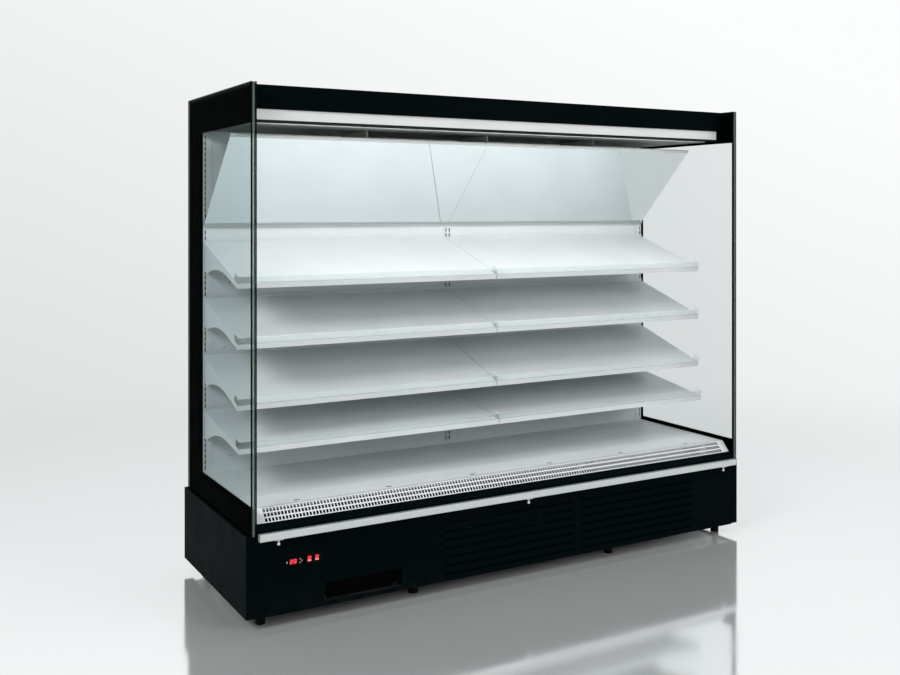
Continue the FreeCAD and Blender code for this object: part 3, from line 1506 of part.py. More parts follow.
def build_compressor():
    """Hermetic compressor: domed shell on a base plate with four rubber feet."""
    body = new_body("compressor")
    foot = "base_top + compressor_foot"
    top = "base_top + compressor_height"
    centre = "compressor_across"
    side = centre + " + compressor_radius"
    sketch = lay_sketch(body, "shell_section", "XZ_Plane", "0 - compressor_middle")
    add_outline(sketch, [
        (centre, foot), (centre + " + shell_base_radius", foot), (side, foot + " + shell_base_rise"),
        (side, top + " - shell_shoulder"), (centre, top)],
        3, "(compressor_radius ^ 2 + shell_shoulder ^ 2) / (2 * shell_shoulder)")
    shell = body.newObject("PartDesign::Revolution", "shell")
    shell.Profile = sketch
    shell.ReferenceAxis = (sketch, ["Edge5"])
    shell.Angle = 360
    plate = lay_sketch(body, "compressor_plate_outline", "XY_Plane", foot)
    add_outline(plate, centred(centre, "compressor_side", "compressor_middle", "compressor_plate_half"))
    pad(body, plate, "compressor_plate")
    feet = lay_sketch(body, "compressor_feet", "XY_Plane", "base_top")
    for side in ("-", "+"):
        for end in ("-", "+"):
            add_circle(feet, "compressor_across %s compressor_radius" % side,
                       "compressor_middle %s compressor_foot_offset" % end, "compressor_foot_radius")
    pad(body, feet, "compressor_foot")


def tube(points, radius, bend):
    """A round tube along straight runs joined by arcs of one bend radius."""
    vectors = [Vector(*point) for point in points]
    edges = []
    here = vectors[0]
    for index in range(1, len(vectors) - 1):
        corner = vectors[index]
        before = (corner - vectors[index - 1]).normalize()
        after = (vectors[index + 1] - corner).normalize()
        half = before.getAngle(after) / 2
        trim = bend * math.tan(half)
        start = corner - before * trim
        finish = corner + after * trim
        inward = (after - before).normalize()
        middle = corner + inward * (bend / math.cos(half) - bend)
        edges.append(Part.LineSegment(here, start).toShape())
        edges.append(Part.Arc(start, middle, finish).toShape())
        here = finish
    edges.append(Part.LineSegment(here, vectors[-1]).toShape())
    path = Part.Wire(edges)
    first = (vectors[1] - vectors[0]).normalize()
    section = Part.Wire(Part.Circle(vectors[0], first, radius).toShape())
    return path.makePipeShell([section], True, False)


def build_pipes():
    """Discharge, liquid and suction lines between compressor, condenser and evaporator."""
    shell = value("compressor_across + compressor_radius + pipe_clearance")
    shell_y = value("compressor_middle")
    gas_x = shell + value("shell_stub")
    gas_z = value("tub_bottom - gas_line_drop")
    out_x = value("condenser_right + pipe_clearance")
    out_y = value("(condenser_front + condenser_back) / 2")
    liquid_x = out_x + value("condenser_stub")
    liquid_z = value("base_top + liquid_line_height")
    run_y = value("window_front + liquid_run_inset")
    run_z = value("window_top - liquid_run_drop")
    suction_z = value("window_low + suction_run_rise")
    rise_x = value("pipe_rise")
    coil_x = value("coil_half_length + coil_plate + pipe_clearance")
    coil_z = value("tub_floor + coil_entry_height")
    liquid_y = value("coil_liquid")
    suction_y = value("coil_suction")
    lines = [
        [(shell, shell_y, gas_z), (gas_x, shell_y, gas_z), (gas_x, out_y, gas_z), (out_x, out_y, gas_z)],
        [(out_x, out_y, liquid_z), (liquid_x, out_y, liquid_z), (liquid_x, run_y, liquid_z),
         (liquid_x, run_y, run_z), (rise_x, run_y, run_z), (rise_x, liquid_y, run_z),
         (rise_x, liquid_y, coil_z), (coil_x, liquid_y, coil_z)],
        [(shell, shell_y, suction_z), (rise_x, shell_y, suction_z), (rise_x, suction_y, suction_z),
         (rise_x, suction_y, coil_z), (coil_x, suction_y, coil_z)],
    ]
    radius = value("pipe_radius")
    bend = value("pipe_bend")
    feature("refrigerant_pipes", Part.makeCompound([tube(line, radius, bend) for line in lines]))


def build_tray():
    """Condensate tray on the floor's runners, behind the slot of the left cover."""
    left = "slot_left + tray_play"
    right = "slot_left + slot_length - tray_play"
    front = "tray_front"
    back = "tray_front + tray_length"
    low = "slot_bottom + tray_play"
    high = "slot_bottom + slot_height - tray_play"
    body = new_body("condensate_tray")
    sketch = lay_sketch(body, "tray_block", "XY_Plane", low)
    add_outline(sketch, rectangle(left, right, front, back))
    pad(body, sketch, "slot_height - 2 * tray_play")
    hollow = lay_sketch(body, "tray_hollow", "XY_Plane", high)
    add_outline(hollow, rectangle(left + " + tray_wall", right + " - tray_wall",
                                  front + " + tray_wall", back + " - tray_wall"))
    pocket(body, hollow, "slot_height - 2 * tray_play - tray_wall")
    grip = lay_sketch(body, "tray_grip", "XY_Plane", high)
    add_outline(grip, rectangle("slot_middle - grip_width / 2", "slot_middle + grip_width / 2",
                                front + " - grip_reach", front))
    pad(body, grip, "grip_thickness", backwards=True)


def build_electrical_box():
    body = new_body("electrical_box")
    left = "trestle_inset + trestle_flange + electric_gap - half_length"
    front = "unit_front + electric_place"
    sketch = lay_sketch(body, "electric_block", "XY_Plane", "base_top")
    add_outline(sketch, rectangle(left, left + " + electric_length", front, front + " + electric_depth"))
    pad(body, sketch, "electric_height")
    lid = lay_sketch(body, "electric_lid", "XY_Plane", "base_top + electric_height")
    add_outline(lid, rectangle(left + " - lid_proud", left + " + electric_length + lid_proud",
                               front + " - lid_proud", front + " + electric_depth + lid_proud"))
    pad(body, lid, "lid_height")


# ---------------------------------------------------------------- controller and switches

KEY_PLACES = (("1", "key_across", "key_pitch"), ("2", "key_across + key_step", "0"),
              ("3", "key_across", "-key_pitch"))


def build_case(body, name, across, half_width, up, half_height, depth):
    """Body of a panel device behind the cover, clear of the cover's cut-out."""
    case = lay_sketch(body, name, "XZ_Plane", "0 - cover_front")
    inset = " - case_inset - case_play"
    add_outline(case, centred(across, half_width + inset, up, half_height + inset))
    pad(body, case, depth, backwards=True)


def build_controller():
    """Panel controller: bezel over the cover, body behind it, window recess and key wells."""
    across = "controller_across"
    height = "controller_height"
    body = new_body("controller")
    bezel = lay_sketch(body, "bezel", "XZ_Plane", "0 - controller_face")
    add_outline(bezel, centred(across, "bezel_length / 2", height, "bezel_height / 2"))
    pad(body, bezel, "bezel_proud", backwards=True)
    build_case(body, "controller_case", across, "bezel_length / 2", height, "bezel_height / 2",
               "controller_depth")
    window = lay_sketch(body, "window", "XZ_Plane", "0 - controller_face")
    add_outline(window, centred(across + " - window_offset", "window_length / 2",
                                height, "window_height / 2"))
    pocket(body, window, "window_depth")
    wells = lay_sketch(body, "key_wells", "XZ_Plane", "0 - controller_face")
    for name, right, up in KEY_PLACES:
        add_circle(wells, "%s + %s" % (across, right), "%s + %s" % (height, up), "key_radius + key_play")
    pocket(body, wells, "bezel_proud")
    for name, right, up in KEY_PLACES:
        key = new_body("controller_key_" + name)
        sketch = lay_sketch(key, "key_" + name, "XZ_Plane", "key_proud - controller_face")
        add_circle(sketch, "%s + %s" % (across, right), "%s + %s" % (height, up), "key_radius")
        pad(key, sketch, "key_proud + bezel_proud - key_travel - key_end_gap", backwards=True)


def build_switches():
    """Two rocker switches, each on its pivot in a well of the shared frame."""
    across = "switch_across"
    height = "switch_height"
    half_width = "switch_frame_length / 2"
    half_height = "switch_frame_height / 2"
    body = new_body("switch_frame")
    sketch = lay_sketch(body, "switch_plate", "XZ_Plane", "0 - switch_face")
    add_outline(sketch, centred(across, half_width, height, half_height))
    pad(body, sketch, "switch_proud", backwards=True)
    build_case(body, "switch_case", across, half_width, height, half_height, "switch_depth")
    wells = lay_sketch(body, "rocker_wells", "XZ_Plane", "0 - switch_face")
    for side in ("-", "+"):
        add_outline(wells, centred("%s %s switch_pitch / 2" % (across, side),
                                   "rocker_width / 2 + rocker_play", height, "rocker_window_half"))
    pocket(body, wells, "switch_well")
    for number, side in ((1, "-"), (2, "+")):
        rocker = new_body("rocker_%d" % number)
        sketch = lay_sketch(rocker, "rocker_section_%d" % number, "YZ_Plane")
        add_outline(sketch, [
            ("-rocker_depth", "-rocker_half"), ("rocker_hollow - rocker_depth", "0"),
            ("-rocker_depth", "rocker_half"), ("0", "rocker_half - 1"),
            ("rocker_depth", "rocker_root"), ("rocker_depth", "-rocker_root"), ("0", "1 - rocker_half")])
        pad(rocker, sketch, "rocker_width")
        rocker.Placement = FreeCAD.Placement(
            Vector(0, 0, 0), FreeCAD.Rotation(Vector(1, 0, 0), value("rocker_tilt")))
        rocker.setExpression("Placement.Rotation.Angle", formula("rocker_tilt"))
        rocker.setExpression("Placement.Base.x", formula(
            "%s %s switch_pitch / 2 - rocker_width / 2" % (across, side)))
        rocker.setExpression("Placement.Base.y", formula("switch_face + rocker_pivot"))
        rocker.setExpression("Placement.Base.z", formula(height))


# ---------------------------------------------------------------- build, check, export

build_base_sides()
group("base_frame", [build_base_floor(), build_trestles()])
build_feet()
build_rear_cover()
build_gland()
build_insulation()
build_end_glass()
build_left_cover()
build_louvred_cover()
build_front_rail()
build_bumper()
build_blind_hooks()
build_return_grille()
build_deck_pans()
build_deck_rails()
build_uprights()
build_rear_panels()
for shelf_level in range(LEVELS):
    build_shelf(shelf_level, "low_slope" if shelf_level == LEVELS - 1 else "slope")
build_mirror()
build_canopy()
build_light()
build_honeycomb()
build_fan_plate()
build_fans()
build_evaporator()
build_condenser()
build_compressor()
build_pipes()
build_tray()
build_electrical_box()
build_controller()
build_switches()
doc.recompute()

for item in doc.Objects:
    if "Invalid" in item.State or "Error" in item.State:
        raise RuntimeError("%s did not build: %s" % (item.Name, item.State))
for piece in subparts:
    if piece.Shape.isNull() or not piece.Shape.isValid():
        raise RuntimeError("%s has no valid shape" % piece.Label)

os.makedirs("parts", exist_ok=True)
for piece in subparts:
    piece.Shape.exportStep(os.path.join("parts", piece.Label + ".step"))
print("%d sub-parts" % len(subparts))
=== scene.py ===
"""Looks of the open multideck display fridge.

A material for every CAD node, the fine honeycomb of the air outlet, the digits, window and lamp of
the controller, and the studio: floor, lights and camera. All lengths are in metres.
"""
import math

import bmesh
import bpy
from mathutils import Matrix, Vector


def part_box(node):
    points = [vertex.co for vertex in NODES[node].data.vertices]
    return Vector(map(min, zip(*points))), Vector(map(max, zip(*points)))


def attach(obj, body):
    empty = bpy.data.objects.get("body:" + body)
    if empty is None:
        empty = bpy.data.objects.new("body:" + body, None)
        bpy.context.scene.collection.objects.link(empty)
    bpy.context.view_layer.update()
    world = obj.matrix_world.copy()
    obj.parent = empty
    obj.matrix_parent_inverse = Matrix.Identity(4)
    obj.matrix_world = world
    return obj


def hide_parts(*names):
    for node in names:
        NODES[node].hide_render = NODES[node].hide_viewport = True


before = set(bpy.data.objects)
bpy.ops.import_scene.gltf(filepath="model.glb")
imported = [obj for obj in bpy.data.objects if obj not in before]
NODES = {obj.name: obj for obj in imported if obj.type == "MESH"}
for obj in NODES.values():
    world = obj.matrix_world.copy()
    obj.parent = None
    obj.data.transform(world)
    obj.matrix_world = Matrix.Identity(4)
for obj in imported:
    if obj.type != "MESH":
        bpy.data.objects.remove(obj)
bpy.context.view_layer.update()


# ---------------------------------------------------------------- materials

def rgba(colour, factor=1.0):
    return tuple(min(1.0, part * factor) for part in colour) + (1.0,)


class NodeTree:
    """The shader nodes of a material or a world, under construction."""

    def __init__(self, owner):
        owner.use_nodes = True
        self.tree = owner.node_tree

    def add(self, kind, sockets=None, **settings):
        made = self.tree.nodes.new("ShaderNode" + kind)
        for key, value in settings.items():
            setattr(made, key, value)
        for key, value in (sockets or {}).items():
            self.feed(made.inputs[key], value)
        return made

    def feed(self, socket, value):
        if isinstance(value, bpy.types.NodeSocket):
            self.tree.links.new(value, socket)
        else:
            socket.default_value = value

    def ranged(self, value, start, end, low=0.0, high=1.0):
        """low where value is start, high where it is end, and held there beyond them."""
        sockets = {"Value": value, "From Min": start, "From Max": end, "To Min": low,
                   "To Max": high}
        return self.add("MapRange", sockets).outputs["Result"]

    def math(self, operation, first, second=0.0):
        return self.add("Math", {0: first, 1: second}, operation=operation).outputs[0]

    def mixed(self, share, first, second):
        """Two shaders mixed, second by share."""
        return self.add("MixShader", {0: share, 1: first, 2: second}).outputs[0]

    def show(self, shader, output):
        """Send the shader to the output node of that name."""
        self.feed(self.tree.nodes[output].inputs["Surface"], shader)


class Surface(NodeTree):
    """A material under construction; its patterns lie in the object's own coordinates."""

    def __init__(self, name):
        self.material = bpy.data.materials.new(name)
        super().__init__(self.material)
        self.shader = self.tree.nodes["Principled BSDF"]
        coordinates = self.add("TexCoord")
        self.place = coordinates.outputs["Object"]
        self.normal = coordinates.outputs["Normal"]

    def along(self, axis):
        """Place along X, Y or Z."""
        return self.add("SeparateXYZ", {0: self.place}).outputs[axis]

    def facing(self, axis):
        """1 where the surface faces along the axis, -1 where it faces against it."""
        return self.add("SeparateXYZ", {0: self.normal}).outputs[axis]

    def unsigned(self, value):
        return self.math("ABSOLUTE", value)

    def noise(self, scale, detail=2.0, stretch=(1.0, 1.0, 1.0)):
        place = self.add("Mapping", {"Vector": self.place, "Scale": stretch}).outputs["Vector"]
        sockets = {"Vector": place, "Scale": scale, "Detail": detail}
        return self.add("TexNoise", sockets).outputs["Fac"]

    def blend(self, share, first, second):
        """Two colours mixed, second by share."""
        return self.add("Mix", {0: share, 6: first, 7: second}, data_type="RGBA").outputs[2]

    def shaded(self, pattern, colour, low, high):
        """The colour times low to high, as the pattern goes from 0 to 1."""
        return self.blend(pattern, rgba(colour, low), rgba(colour, high))

    def clear(self, tint):
        """Shader of what lets light through unbent."""
        return self.add("BsdfTransparent", {"Color": rgba(tint)}).outputs[0]

    def relief(self, *layers):
        """Bump layers, each (height, strength, depth), one on top of the other."""
        normal = None
        for height, strength, depth in layers:
            bump = self.add("Bump", {"Height": height, "Strength": strength, "Distance": depth})
            if normal:
                self.feed(bump.inputs["Normal"], normal)
            normal = bump.outputs["Normal"]
        self.feed(self.shader.inputs["Normal"], normal)

    def finish(self, **sockets):
        for key, value in sockets.items():
            self.feed(self.shader.inputs[key.replace("_", " ")], value)
        return self.material

    def finish_clear(self, share, clear):
        """Show the surface's own shader by share and the clear one for the rest."""
        self.show(self.mixed(share, clear, self.shader.outputs[0]), "Material Output")
        return self.material

    def paint_clouds(self):
        return self.noise(2.2, 4.0)

    def orange_peel(self):
        """Bump layer of sprayed paint."""
        return self.noise(620.0, 1.0), 0.16, 0.0003

    def paint_roughness(self, roughness):
        return self.ranged(self.noise(9.0, 5.0), 0.25, 0.75, roughness - 0.05, roughness + 0.07)

    def finish_paint(self, tone, roughness, gloss):
        """Finish as sprayed and baked paint."""
        self.relief(self.orange_peel())
        return self.finish(Base_Color=tone, Roughness=self.paint_roughness(roughness),
                           Specular_IOR_Level=gloss)


DUST_TOP, DUST_FULL = 0.16, 0.045  # heights where floor dust ends and where it is thickest
DUST_COLOUR = (0.012, 0.0135, 0.0135)


def powder_coat(name, colour, roughness, gloss, dusty=False):
    """Sprayed and baked paint: fine orange peel, faint clouds, and dust low down where dusty."""
    surface = Surface(name)
    speck = surface.ranged(surface.noise(1500.0, 1.0), 0.62, 0.75)
    tone = surface.shaded(surface.paint_clouds(), colour, 0.86, 1.14)
    tone = surface.blend(surface.math("MULTIPLY", speck, 0.25), tone, rgba(colour, 1.7))
    rough = surface.paint_roughness(roughness)
    if dusty:
        low = surface.ranged(surface.along("Z"), DUST_TOP, DUST_FULL)
        patches = surface.ranged(surface.noise(28.0, 6.0), 0.35, 0.8, 0.0, 0.35)
        dust = surface.math("MULTIPLY", low, patches)
        tone = surface.blend(dust, tone, rgba(DUST_COLOUR))
        rough = surface.math("ADD", rough, surface.math("MULTIPLY", dust, 0.5))
    surface.relief(surface.orange_peel(), (speck, 0.1, 0.0001))
    return surface.finish(Base_Color=tone, Roughness=rough, Specular_IOR_Level=gloss)


def brushed(name, colour, roughness, metal):
    """Drawn or brushed aluminium: long streaks along X, soft handling marks."""
    surface = Surface(name)
    streak = surface.noise(1.0, 6.0, (3.0, 500.0, 500.0))
    marks = surface.ranged(surface.noise(5.0, 4.0), 0.5, 0.8, 0.0, 0.35)
    tone = surface.shaded(streak, colour, 0.86, 1.12)
    tone = surface.blend(marks, tone, rgba(colour, 0.8))
    rough = surface.ranged(streak, 0.2, 0.8, roughness - 0.08, roughness + 0.1)
    surface.relief((streak, 0.12, 0.0002))
    return surface.finish(Base_Color=tone, Roughness=rough, Metallic=metal)


def galvanised(name, colour):
    """Hot-dipped zinc: flat crystals of different tone and shine, a few dull patches."""
    surface = Surface(name)
    crystal = surface.add("TexVoronoi", {"Vector": surface.place, "Scale": 55.0})
    tone_of = surface.add("SeparateColor", {0: crystal.outputs["Color"]}).outputs["Red"]
    dull = surface.ranged(surface.noise(7.0, 5.0), 0.45, 0.75)
    tone = surface.shaded(tone_of, colour, 0.8, 1.15)
    tone = surface.blend(surface.math("MULTIPLY", dull, 0.4), tone, rgba(colour, 0.7))
    rough = surface.ranged(tone_of, 0.0, 1.0, 0.28, 0.5)
    surface.relief((crystal.outputs["Distance"], 0.08, 0.0005),
                   (surface.noise(300.0), 0.05, 0.0002))
    return surface.finish(Base_Color=tone, Roughness=rough, Metallic=0.85)


def moulded(name, colour, roughness, grain=900.0, gloss=0.5):
    """Moulded plastic with a fine spark-eroded grain and faint flow clouds."""
    surface = Surface(name)
    texture = surface.noise(grain, 2.0)
    tone = surface.shaded(surface.noise(14.0, 3.0), colour, 0.88, 1.12)
    rough = surface.ranged(texture, 0.3, 0.7, roughness - 0.06, roughness + 0.08)
    surface.relief((texture, 0.25, 0.0002))
    return surface.finish(Base_Color=tone, Roughness=rough, Specular_IOR_Level=gloss)


BAND_SCALE = 0.314  # scale of the wave texture that sets its bands one metre apart


def finned(name, colour, pitch):
    """Aluminium fins of a coil, standing side by side along X, with painted shade between them and
    bent ones here and there.
    """
    surface = Surface(name)
    sockets = {"Vector": surface.place, "Scale": BAND_SCALE / pitch, "Distortion": 0.15,
               "Detail": 1.0, "Detail Scale": 8.0}
    fins = surface.add("TexWave", sockets, bands_direction="X").outputs["Fac"]
    gap_shade = surface.ranged(fins, 0.25, 0.6)
    bent = surface.ranged(surface.noise(11.0, 4.0), 0.5, 0.8, 0.0, 0.4)
    # painted shade: the gaps between fins darken to 12 % of the metal
    tone = surface.blend(bent, surface.shaded(gap_shade, colour, 0.12, 1.0), rgba(colour, 0.6))
    surface.relief((fins, 0.6, 0.001))
    rough = surface.ranged(gap_shade, 0.0, 1.0, 0.6, 0.34)
    return surface.finish(Base_Color=tone, Roughness=rough, Metallic=0.9)


def tarnished_copper(name, colour, tarnish):
    surface = Surface(name)
    brown = surface.ranged(surface.noise(16.0, 6.0), 0.42, 0.72)
    tone = surface.blend(brown, rgba(colour), rgba(tarnish))
    surface.relief((surface.noise(400.0), 0.08, 0.0002))
    rough = surface.ranged(brown, 0.0, 1.0, 0.22, 0.5)
    return surface.finish(Base_Color=tone, Roughness=rough, Metallic=1.0)


def mirror_sheet(name, colour):
    """Silvered glass, almost clean: faint wiping marks in its shine only."""
    surface = Surface(name)
    wipe = surface.noise(6.0, 5.0, (1.0, 3.0, 3.0))
    tone = surface.shaded(wipe, colour, 0.985, 1.01)
    rough = surface.ranged(wipe, 0.4, 0.8, 0.015, 0.035)
    return surface.finish(Base_Color=tone, Roughness=rough, Metallic=1.0)


def lit_diffuser(name, colour, light, pitch):
    """Opal cover over a row of light sources set at a pitch along X: a soft spot at each one."""
    surface = Surface(name)
    turn = surface.math("MULTIPLY", surface.along("X"), 2 * math.pi / pitch)
    glow = surface.ranged(surface.math("SINE", turn), -1.0, 1.0, light * 0.95, light * 1.05)
    grain = surface.noise(700.0, 2.0)
    surface.relief((grain, 0.1, 0.0002))
    return surface.finish(Base_Color=surface.shaded(grain, colour, 0.97, 1.02), Roughness=0.45,
                          Emission_Color=rgba((0.93, 0.97, 1.0)), Emission_Strength=glow)


CUT_EDGE = 0.5  # a face whose normal leans less than this along X is a cut edge of an end unit
DULL_EDGE_GLOSS = 0.02


def end_glass(name, tint, slant_tint, edge_tint, mirror_share):
    """Pane across X that lets light through unbent; its narrow cut edges show edge_tint.

    slant_tint is what it lets through at grazing angles, mirror_share what it mirrors there.
    """
    surface = Surface(name)
    smear = surface.noise(9.0, 6.0, (1.0, 1.0, 2.5))
    surface.finish(Base_Color=surface.shaded(smear, edge_tint, 0.85, 1.0),
                   Roughness=surface.ranged(smear, 0.3, 0.8, 0.2, 0.4),
                   Specular_IOR_Level=DULL_EDGE_GLOSS)
    slant = surface.add("LayerWeight", {"Blend": 0.5}).outputs["Facing"]
    through = surface.blend(slant, rgba(tint), rgba(slant_tint))
    clear = surface.add("BsdfTransparent", {"Color": through}).outputs[0]
    polish = surface.ranged(smear, 0.45, 0.8, 0.01, 0.06)
    shine = surface.add("BsdfGlossy", {"Roughness": polish}).outputs[0]
    grazing = surface.math("POWER", slant, 9.0)
    share = surface.ranged(grazing, 0.0, 1.0, 0.01 * mirror_share, mirror_share)
    edge = surface.math("LESS_THAN", surface.unsigned(surface.facing("X")), CUT_EDGE)
    return surface.finish_clear(edge, surface.mixed(share, clear, shine))


def edge_seal(name, tint, clear_body, rubber, front_end, middle, bead):
    """Seal between two panes: black rubber, but clear along the front edge between two black beads.

    The clear part ends at front_end along Y; the beads lie more than bead from middle along X.
    """
    surface = Surface(name)
    back = surface.ranged(surface.along("Y"), front_end, front_end + 0.0005)
    aside = surface.math("SUBTRACT", surface.unsigned(surface.along("X")), middle)
    beads = surface.ranged(surface.unsigned(aside), bead, bead + 0.0003)
    black = surface.math("MAXIMUM", back, beads)
    grain = surface.noise(150.0, 4.0)
    tone = surface.blend(black, rgba(clear_body), surface.shaded(grain, rubber, 0.8, 1.2))
    surface.finish(Base_Color=tone, Roughness=surface.ranged(grain, 0.3, 0.7, 0.4, 0.55),
                   Specular_IOR_Level=DULL_EDGE_GLOSS)
    edge = surface.math("LESS_THAN", surface.unsigned(surface.facing("X")), CUT_EDGE)
    solid = surface.math("MAXIMUM", black, surface.math("MULTIPLY", edge, 0.35))
    return surface.finish_clear(solid, surface.clear(tint))


def riser_plastic(name, tint, cut_tint, clear_tint, cloudiness):
    """Clear acrylic lip: mostly see-through, with a pale green body and bright cut edges."""
    surface = Surface(name)
    smear = surface.noise(40.0, 5.0)
    cut = surface.ranged(surface.unsigned(surface.facing("Z")), 0.7, 0.85)
    surface.finish(Base_Color=surface.blend(cut, rgba(tint), rgba(cut_tint)),
                   Roughness=surface.ranged(smear, 0.3, 0.8, 0.1, 0.2), Specular_IOR_Level=0.3)
    cloudy = surface.math("MAXIMUM", cut, surface.math("MULTIPLY", smear, 0.05))
    share = surface.ranged(cloudy, 0.0, 1.0, cloudiness, 0.85)
    return surface.finish_clear(share, surface.clear(clear_tint))


PALE_FROM, PALE_FULL = 0.249, 0.242  # heights between which a rocker turns pale towards its foot
ROCKER_LAMP = 0.252  # height of the lamp behind a rocker


def rocker_plastic(name, colour, pale, lamp_colour):
    """Translucent red switch key, lit from inside: deep red at its lamp, pale at its foot."""
    surface = Surface(name)
    height = surface.along("Z")
    low = surface.ranged(height, PALE_FROM, PALE_FULL)
    from_lamp = surface.unsigned(surface.math("SUBTRACT", height, ROCKER_LAMP))
    tone = surface.blend(low, rgba(colour, 1.15), rgba(pale))
    tone = surface.blend(surface.ranged(from_lamp, 0.004, 0.0015), tone, rgba(lamp_colour))
    grain = surface.noise(800.0)
    surface.relief((grain, 0.05, 0.0002))
    return surface.finish(Base_Color=tone, Roughness=surface.ranged(grain, 0.3, 0.7, 0.14, 0.24),
                          Emission_Color=tone, Emission_Strength=0.5)


def screen_print(name, colour):
    """Black ink between the panes: dense, with faint thin places."""
    surface = Surface(name)
    thin = surface.ranged(surface.noise(30.0, 4.0), 0.5, 0.8)
    return surface.finish(Base_Color=surface.shaded(thin, colour, 1.0, 1.8),
                          Roughness=surface.ranged(thin, 0.0, 1.0, 0.4, 0.5),
                          Specular_IOR_Level=0.0)


def comb_plastic(name, colour, rim):
    """Black honeycomb whose cut rims, facing down and up, carry a patchy painted highlight."""
    surface = Surface(name)
    cut = surface.ranged(surface.unsigned(surface.facing("Z")), 0.7, 0.9)
    sheen_patches = surface.ranged(surface.noise(60.0, 4.0), 0.3, 0.7, 0.55, 1.0)
    # painted highlight: the cut rims turn paler where they would catch light
    rim_sheen = surface.math("MULTIPLY", cut, sheen_patches)
    surface.relief((surface.noise(500.0), 0.15, 0.0002))
    return surface.finish(Base_Color=surface.blend(rim_sheen, rgba(colour), rgba(rim)),
                          Roughness=surface.ranged(rim_sheen, 0.0, 1.0, 0.5, 0.6),
                          Specular_IOR_Level=0.1)


def tub_skin_and_painted_shade(name, skin, inside, skin_from):
    """Insulated tub: pale rear skin from skin_from on along Y, painted dark shade of the deck in
    front of it.
    """
    surface = Surface(name)
    rear = surface.ranged(surface.along("Y"), skin_from, skin_from + 0.001)
    cloud = surface.noise(3.0, 4.0)
    # inside is painted shade, where the deck shades the tub
    tone = surface.blend(rear, surface.shaded(cloud, inside, 0.8, 1.3),
                         surface.shaded(cloud, skin, 0.9, 1.1))
    surface.relief((surface.noise(620.0, 1.0), 0.15, 0.0003))
    rough = surface.ranged(cloud, 0.25, 0.75, 0.45, 0.55)
    return surface.finish(Base_Color=tone, Roughness=rough, Specular_IOR_Level=0.2)


def duct_wall(name, skin, inside, skin_from):
    """Insulated back: pale skin from skin_from on along Y; its face in the air duct is painted dark
    as shade.
    """
    surface = Surface(name)
    rear = surface.ranged(surface.along("Y"), skin_from, skin_from + 0.001)
    cloud = surface.paint_clouds()
    # inside is painted shade on the face in the air duct
    tone = surface.blend(rear, surface.shaded(cloud, inside, 0.8, 1.2),
                         surface.shaded(cloud, skin, 0.86, 1.14))
    return surface.finish_paint(tone, roughness=0.45, gloss=0.3)


def slotted_steel(name, colour, hollow_from):
    """White upright; behind its front web, from hollow_from on along Y, it is painted in deep
    shade.
    """
    surface = Surface(name)
    hollow_shade = surface.ranged(surface.along("Y"), hollow_from, hollow_from + 0.0006)
    tone = surface.shaded(surface.paint_clouds(), colour, 0.9, 1.08)
    # painted shade: 4 % of the white behind the front web
    tone = surface.blend(hollow_shade, tone, rgba(colour, 0.04))
    return surface.finish_paint(tone, roughness=0.41, gloss=0.3)


def slotted_grille(name, colour, wall, end):
    """White grille; its slots' side walls, nearer than end to its middle along X, are painted in
    shade.
    """
    surface = Surface(name)
    sideways = surface.ranged(surface.unsigned(surface.facing("X")), 0.7, 0.75)
    between = surface.ranged(surface.unsigned(surface.along("X")), end, end - 0.001)
    tone = surface.shaded(surface.paint_clouds(), colour, 0.9, 1.08)
    # wall is the colour of the painted shade on the slots' side walls
    tone = surface.blend(surface.math("MULTIPLY", sideways, between), tone, rgba(wall))
    return surface.finish_paint(tone, roughness=0.41, gloss=0.3)


def hemmed_sheet(name, colour, bare, edge_top):
    """Dark sheet whose front edge, facing the customer and up to edge_top, is bare aluminium."""
    surface = Surface(name)
    low = surface.ranged(surface.along("Z"), edge_top + 0.0004, edge_top)
    hem = surface.math("MULTIPLY", surface.ranged(surface.facing("Y"), -0.7, -0.9), low)
    tone = surface.shaded(surface.paint_clouds(), colour, 0.86, 1.14)
    tone = surface.blend(hem, tone, rgba(bare))
    return surface.finish_paint(tone, roughness=0.45, gloss=0.15)


LOUVRE_LIP = 0.081  # height of the lowest hood's lower edge
LOUVRE_PITCH = 0.0365
LOUVRE_ROWS = -0.3, 6.6  # where the rows of hoods begin and end, in pitches above LOUVRE_LIP
LOUVRE_FIELDS = (-0.409, 0.264), (0.310, 0.983)  # start and end of each row of hoods along X
MOUTH_EDGE, MOUTH_DEEP = 0.0085, 0.0035  # how far under a hood its painted shade ends, and is full
HOOD_SHADOW = 0.018  # length of the soft painted shadow at each hood's lower edge


